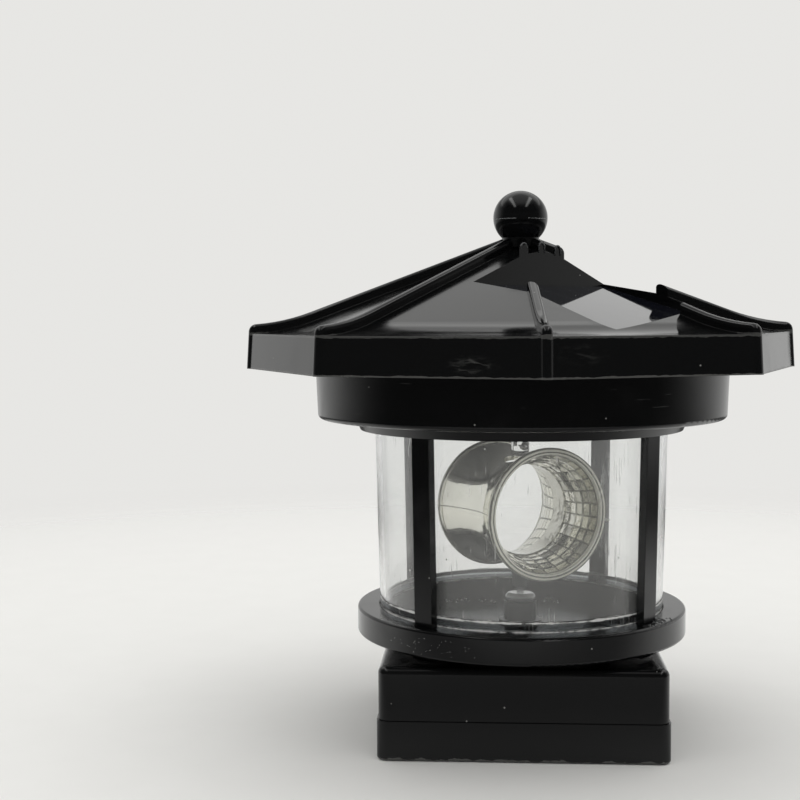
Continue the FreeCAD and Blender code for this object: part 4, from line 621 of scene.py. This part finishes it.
# ------------------------------------------------------------------ cut ends of the ridges
# Three ridges end at the wall of the panel's recess. Each end has a thin rolled burr of
# black plastic, an arch that follows the ridge's round back. The burrs are painted dark grey,
# lighter than the roof, a painted highlight for the glints they catch.
# Painted highlight: a grey tint in place of black.
burr_painted_highlight = black_plastic("burr_painted_highlight", 0.20, 0.0, tint=(0.055, 0.056, 0.058), specks=0.0, round_mm=0.02)
WALL_ALONG = Vector((0.66, 0.75, 0.0))
WALL_OUT = Vector((0.75, -0.66, 0.0)) * 0.12 * MM
BURR_HALF = 1.2 * MM
BURR_LEG = Vector((0.0, 0.0, -1.5 * MM))
BURR_STEPS = 12
BURR_PLACES = ((0.6, -10.3, 130.7), (5.5, -5.2, 131.0), (10.0, -0.2, 130.4))
for index, burr_place in enumerate(BURR_PLACES):
    centre = Vector(burr_place) * MM + WALL_OUT
    burr = [centre - WALL_ALONG * BURR_HALF + BURR_LEG]
    for number in range(BURR_STEPS + 1):
        turn = math.pi * (1.0 - number / BURR_STEPS)
        burr.append(centre + WALL_ALONG * (BURR_HALF * math.cos(turn))
                    + Vector((0.0, 0.0, BURR_HALF * math.sin(turn))))
    burr.append(centre + WALL_ALONG * BURR_HALF + BURR_LEG)
    burr = [point + WALL_ALONG * chance.uniform(-0.12, 0.12) * MM for point in burr]
    thread("ridge_burr_%d" % index, burr, 0.24 * MM, burr_painted_highlight, 8)


# ------------------------------------------------------------------ crumbs on the deck
# Pale crumbs of plastic lie on the deck's sunken floor, inside the lens tube where nobody
# wiped them away, and smaller ones stick to the front left of the deck's side.
def crumbs(name, places, least, most):
    """A scatter of small flattened lumps on the head, joined in one mesh."""
    bm = bmesh.new()
    for place in places:
        size = chance.uniform(least, most)
        lump = bmesh.ops.create_icosphere(bm, subdivisions=1, radius=size)["verts"]
        for corner in lump:
            stretch = Vector((chance.uniform(0.6, 1.3), chance.uniform(0.6, 1.3), 0.5))
            corner.co = corner.co * stretch + place
    new_piece(name, bm, crumb_pale, "head")


FLOOR_LEVEL = 28.32
FLOOR_HEAPS = ((-17.8, 29.0, 2.25, 20), (-8.5, 27.0, 1.5, 8), (9.3, 29.0, 2.0, 12))
floor_places = []
for heap_x, heap_y, spread, count in FLOOR_HEAPS:
    for number in range(count):
        floor_places.append(Vector((heap_x + chance.gauss(0, spread), heap_y + chance.gauss(0, spread),
                                    FLOOR_LEVEL)) * MM)
crumbs("floor_crumbs", floor_places, 0.12 * MM, 0.36 * MM)

DECK_SIDE = 44.92
SIDE_COUNT = 34
side_places = []
for number in range(SIDE_COUNT):
    turn = math.radians(chance.gauss(-122.0, 9.0))
    side_places.append(Vector((DECK_SIDE * math.cos(turn), DECK_SIDE * math.sin(turn),
                               chance.uniform(27.6, 32.2))) * MM)
crumbs("deck_crumbs", side_places, 0.05 * MM, 0.11 * MM)

# ------------------------------------------------------------------ torn gate on the deck
# Where the deck was broken off its runner, at the foot of the right post, thin shards of
# plastic stand up from the rim.
GATE_TURN = -34.0
GATE_HEIGHT = 33.58
SHARD_COUNT = 46
gate = bmesh.new()
for number in range(SHARD_COUNT):
    turn = math.radians(GATE_TURN + chance.gauss(0, 3.0))
    out = chance.uniform(40.6, 44.6)
    place = Vector((out * math.cos(turn), out * math.sin(turn), GATE_HEIGHT)) * MM
    lean = Vector((chance.uniform(-1, 1), chance.uniform(-1, 1), chance.uniform(0.1, 0.6))) * 0.55 * MM
    width = Vector((chance.uniform(-1, 1), chance.uniform(-1, 1), 0.0)).normalized() * 0.30 * MM
    outline = (place - width, place + width, place + lean + width * 0.3, place + lean * 0.7 - width * 0.5)
    thick = width.cross(lean).normalized() * 0.05 * MM
    front = [gate.verts.new(corner - thick) for corner in outline]
    rear = [gate.verts.new(corner + thick) for corner in outline]
    gate.faces.new(front)
    gate.faces.new(list(reversed(rear)))
    for corner in range(len(outline)):
        following = (corner + 1) % len(outline)
        gate.faces.new((front[following], front[corner], rear[corner], rear[following]))
bmesh.ops.recalc_face_normals(gate, faces=gate.faces)
new_piece("torn_gate", gate, flash_grey, "head")

# ------------------------------------------------------------------ floor
# Pale and matte. It is darker to reflections in front, and gone half a metre out, where the
# plain tone of the surroundings takes over without a horizon.
floor_mesh = bpy.data.meshes.new("floor")
floor_bm = bmesh.new()
bmesh.ops.create_circle(floor_bm, cap_ends=True, segments=96, radius=1.0)
floor_bm.to_mesh(floor_mesh)
floor_bm.free()
floor = bpy.data.objects.new("floor", floor_mesh)
floor.location = (0, 0, -0.1 * MM)
bpy.context.scene.collection.objects.link(floor)

pale_floor, tree, shader, output = new_material("pale_floor")
floor_place = surface_place(tree)
floor_axes = axes_of(tree, floor_place)
floor_radius = vector(tree, "LENGTH", floor_place, output="Value")
floor_pale = blend(tree, noise(tree, Vector=floor_place, Scale=60.0, Detail=3.0),
                   (0.80, 0.795, 0.775), (0.83, 0.825, 0.805))
path = add(tree, "ShaderNodeLightPath").outputs
mirrored = calc(tree, "MULTIPLY", calc(tree, "GREATER_THAN", path["Glossy Depth"], 0.5),
                calc(tree, "LESS_THAN", path["Transmission Depth"], 0.5))
floor_gloss = blend(tree, step(tree, floor_axes["Y"], -0.10, 0.02), (0.19, 0.19, 0.19), (0.85, 0.85, 0.84))
tree.links.new(blend(tree, mirrored, floor_pale, floor_gloss), shader.inputs["Base Color"])
shader.inputs["Roughness"].default_value = 0.9
shader.inputs["Specular IOR Level"].default_value = 0.0
# A little way in front the table is more brightly lit, which only reflections see.
ahead = step(tree, floor_axes["Y"], -0.24, -0.13, 1.0, 0.0)
ahead_side = calc(tree, "ABSOLUTE", floor_axes["X"])
ahead = calc(tree, "MULTIPLY", ahead, step(tree, ahead_side, 0.24, 0.36, 1.0, 0.0))
ahead = calc(tree, "MULTIPLY", calc(tree, "MULTIPLY", ahead, mirrored),
             step(tree, floor_radius, 0.25, 0.36, 1.0, 0.0))
tree.links.new(calc(tree, "MULTIPLY", ahead, 0.40), shader.inputs["Emission Strength"])
shader.inputs["Emission Color"].default_value = (1.0, 1.0, 0.98, 1)
fade_end = calc(tree, "MULTIPLY_ADD", mirrored, -0.18, 0.58)
floor_fade = calc(tree, "SUBTRACT", step(tree, floor_radius, 0.20, fade_end), ahead)
floor_fade = add(tree, "ShaderNodeClamp", {"Value": floor_fade}).outputs[0]
gone = add(tree, "ShaderNodeBsdfTransparent")
faded = add(tree, "ShaderNodeMixShader", {0: floor_fade, 1: shader.outputs[0], 2: gone.outputs[0]})
tree.links.new(faded.outputs[0], output.inputs["Surface"])
floor_mesh.materials.append(pale_floor)

# ------------------------------------------------------------------ light
# One broad softbox overhead lights the floor and throws the soft shadow. Reflections have
# the tent's own softboxes, so this one isn't seen in them.
overhead_data = bpy.data.lights.new("overhead", "AREA")
overhead_data.shape = "RECTANGLE"
overhead_data.size = 1.1
overhead_data.size_y = 0.8
overhead_data.energy = 3.5
overhead = bpy.data.objects.new("overhead", overhead_data)
overhead.location = (0.1, 0.1, 1.2)
overhead.rotation_mode = "QUATERNION"
overhead.rotation_quaternion = (Vector((0, 0, 0.05)) - overhead.location).to_track_quat("-Z", "Y")
overhead.visible_glossy = False
bpy.context.scene.collection.objects.link(overhead)

# ------------------------------------------------------------------ light tent
# To reflections the world is a tent: bright behind and at the sides, with a softbox high
# behind and two tube lights above, and dark in front, where the camera stands. What is seen
# straight on, or through clear plastic, is one plain pale tone.
world = bpy.data.worlds.new("tent")
bpy.context.scene.world = world
world.use_nodes = True
tent = world.node_tree
tent.nodes.clear()
axes = axes_of(tent, add(tent, "ShaderNodeTexCoord").outputs["Generated"])
side_tone = step(tent, axes["Y"], -0.25, 0.70, 0.045, 0.70)
below = step(tent, axes["Z"], -0.15, -0.10, 0.14, 1.0)
dip = step(tent, axes["Z"], 0.22, 0.46, 1.0, 0.62)
low_tone = calc(tent, "MULTIPLY", calc(tent, "MULTIPLY", side_tone, below), dip)
sky = between(tent, step(tent, axes["Z"], 0.72, 0.98), low_tone, 0.5)
# The softbox high behind is a level band that fades upwards.
band = calc(tent, "MULTIPLY", step(tent, axes["Z"], 0.50, 0.56), step(tent, axes["Z"], 0.84, 0.93, 1.0, 0.0))
band = calc(tent, "MULTIPLY", band, step(tent, axes["Y"], 0.15, 0.40))
sky = between(tent, band, sky, step(tent, axes["Z"], 0.57, 0.64, 1.08, 0.86))
# Two tube lights hang above and in front, one to each side, and run towards the camera.
TUBE_OFF = 0.50
TUBE_STRENGTH = 2.2
across = calc(tent, "ABSOLUTE", calc(tent, "DIVIDE", axes["X"], axes["Z"]))
along_tube = calc(tent, "DIVIDE", axes["Y"], axes["Z"])
tube = step(tent, calc(tent, "ABSOLUTE", calc(tent, "SUBTRACT", across, TUBE_OFF)), 0.05, 0.13, 1.0, 0.0)
tube = calc(tent, "MULTIPLY", tube, step(tent, along_tube, -1.0, -0.8))
tube = calc(tent, "MULTIPLY", tube, step(tent, along_tube, 0.25, 0.45, 1.0, 0.0))
tube = calc(tent, "MULTIPLY", tube, step(tent, axes["Z"], 0.3, 0.4))
sky = calc(tent, "MULTIPLY_ADD", tube, TUBE_STRENGTH, sky)
# Mirrors inside the lens see a brighter room through it than the black outside does.
path = add(tent, "ShaderNodeLightPath").outputs
inside_lens = calc(tent, "MULTIPLY", calc(tent, "GREATER_THAN", path["Glossy Depth"], 0.5),
                   calc(tent, "GREATER_THAN", path["Transmission Depth"], 0.5))
sky = between(tent, inside_lens, sky, step(tent, axes["Y"], -0.5, 0.2, 0.66, 0.84))
warm = add(tent, "ShaderNodeVectorMath", {0: (1.0, 1.0, 0.985), "Scale": sky}, operation="SCALE").outputs[0]
not_mirrored = calc(tent, "LESS_THAN", path["Glossy Depth"], 0.5)
through = calc(tent, "MULTIPLY", path["Is Transmission Ray"], not_mirrored)
tone = blend(tent, path["Is Diffuse Ray"], warm, (0.85, 0.85, 0.84))
tone = blend(tent, through, tone, (0.93, 0.93, 0.90))
tone = blend(tent, path["Is Camera Ray"], tone, (0.80, 0.795, 0.775))
background = add(tent, "ShaderNodeBackground", {"Color": tone})
add(tent, "ShaderNodeOutputWorld", {"Surface": background.outputs[0]})
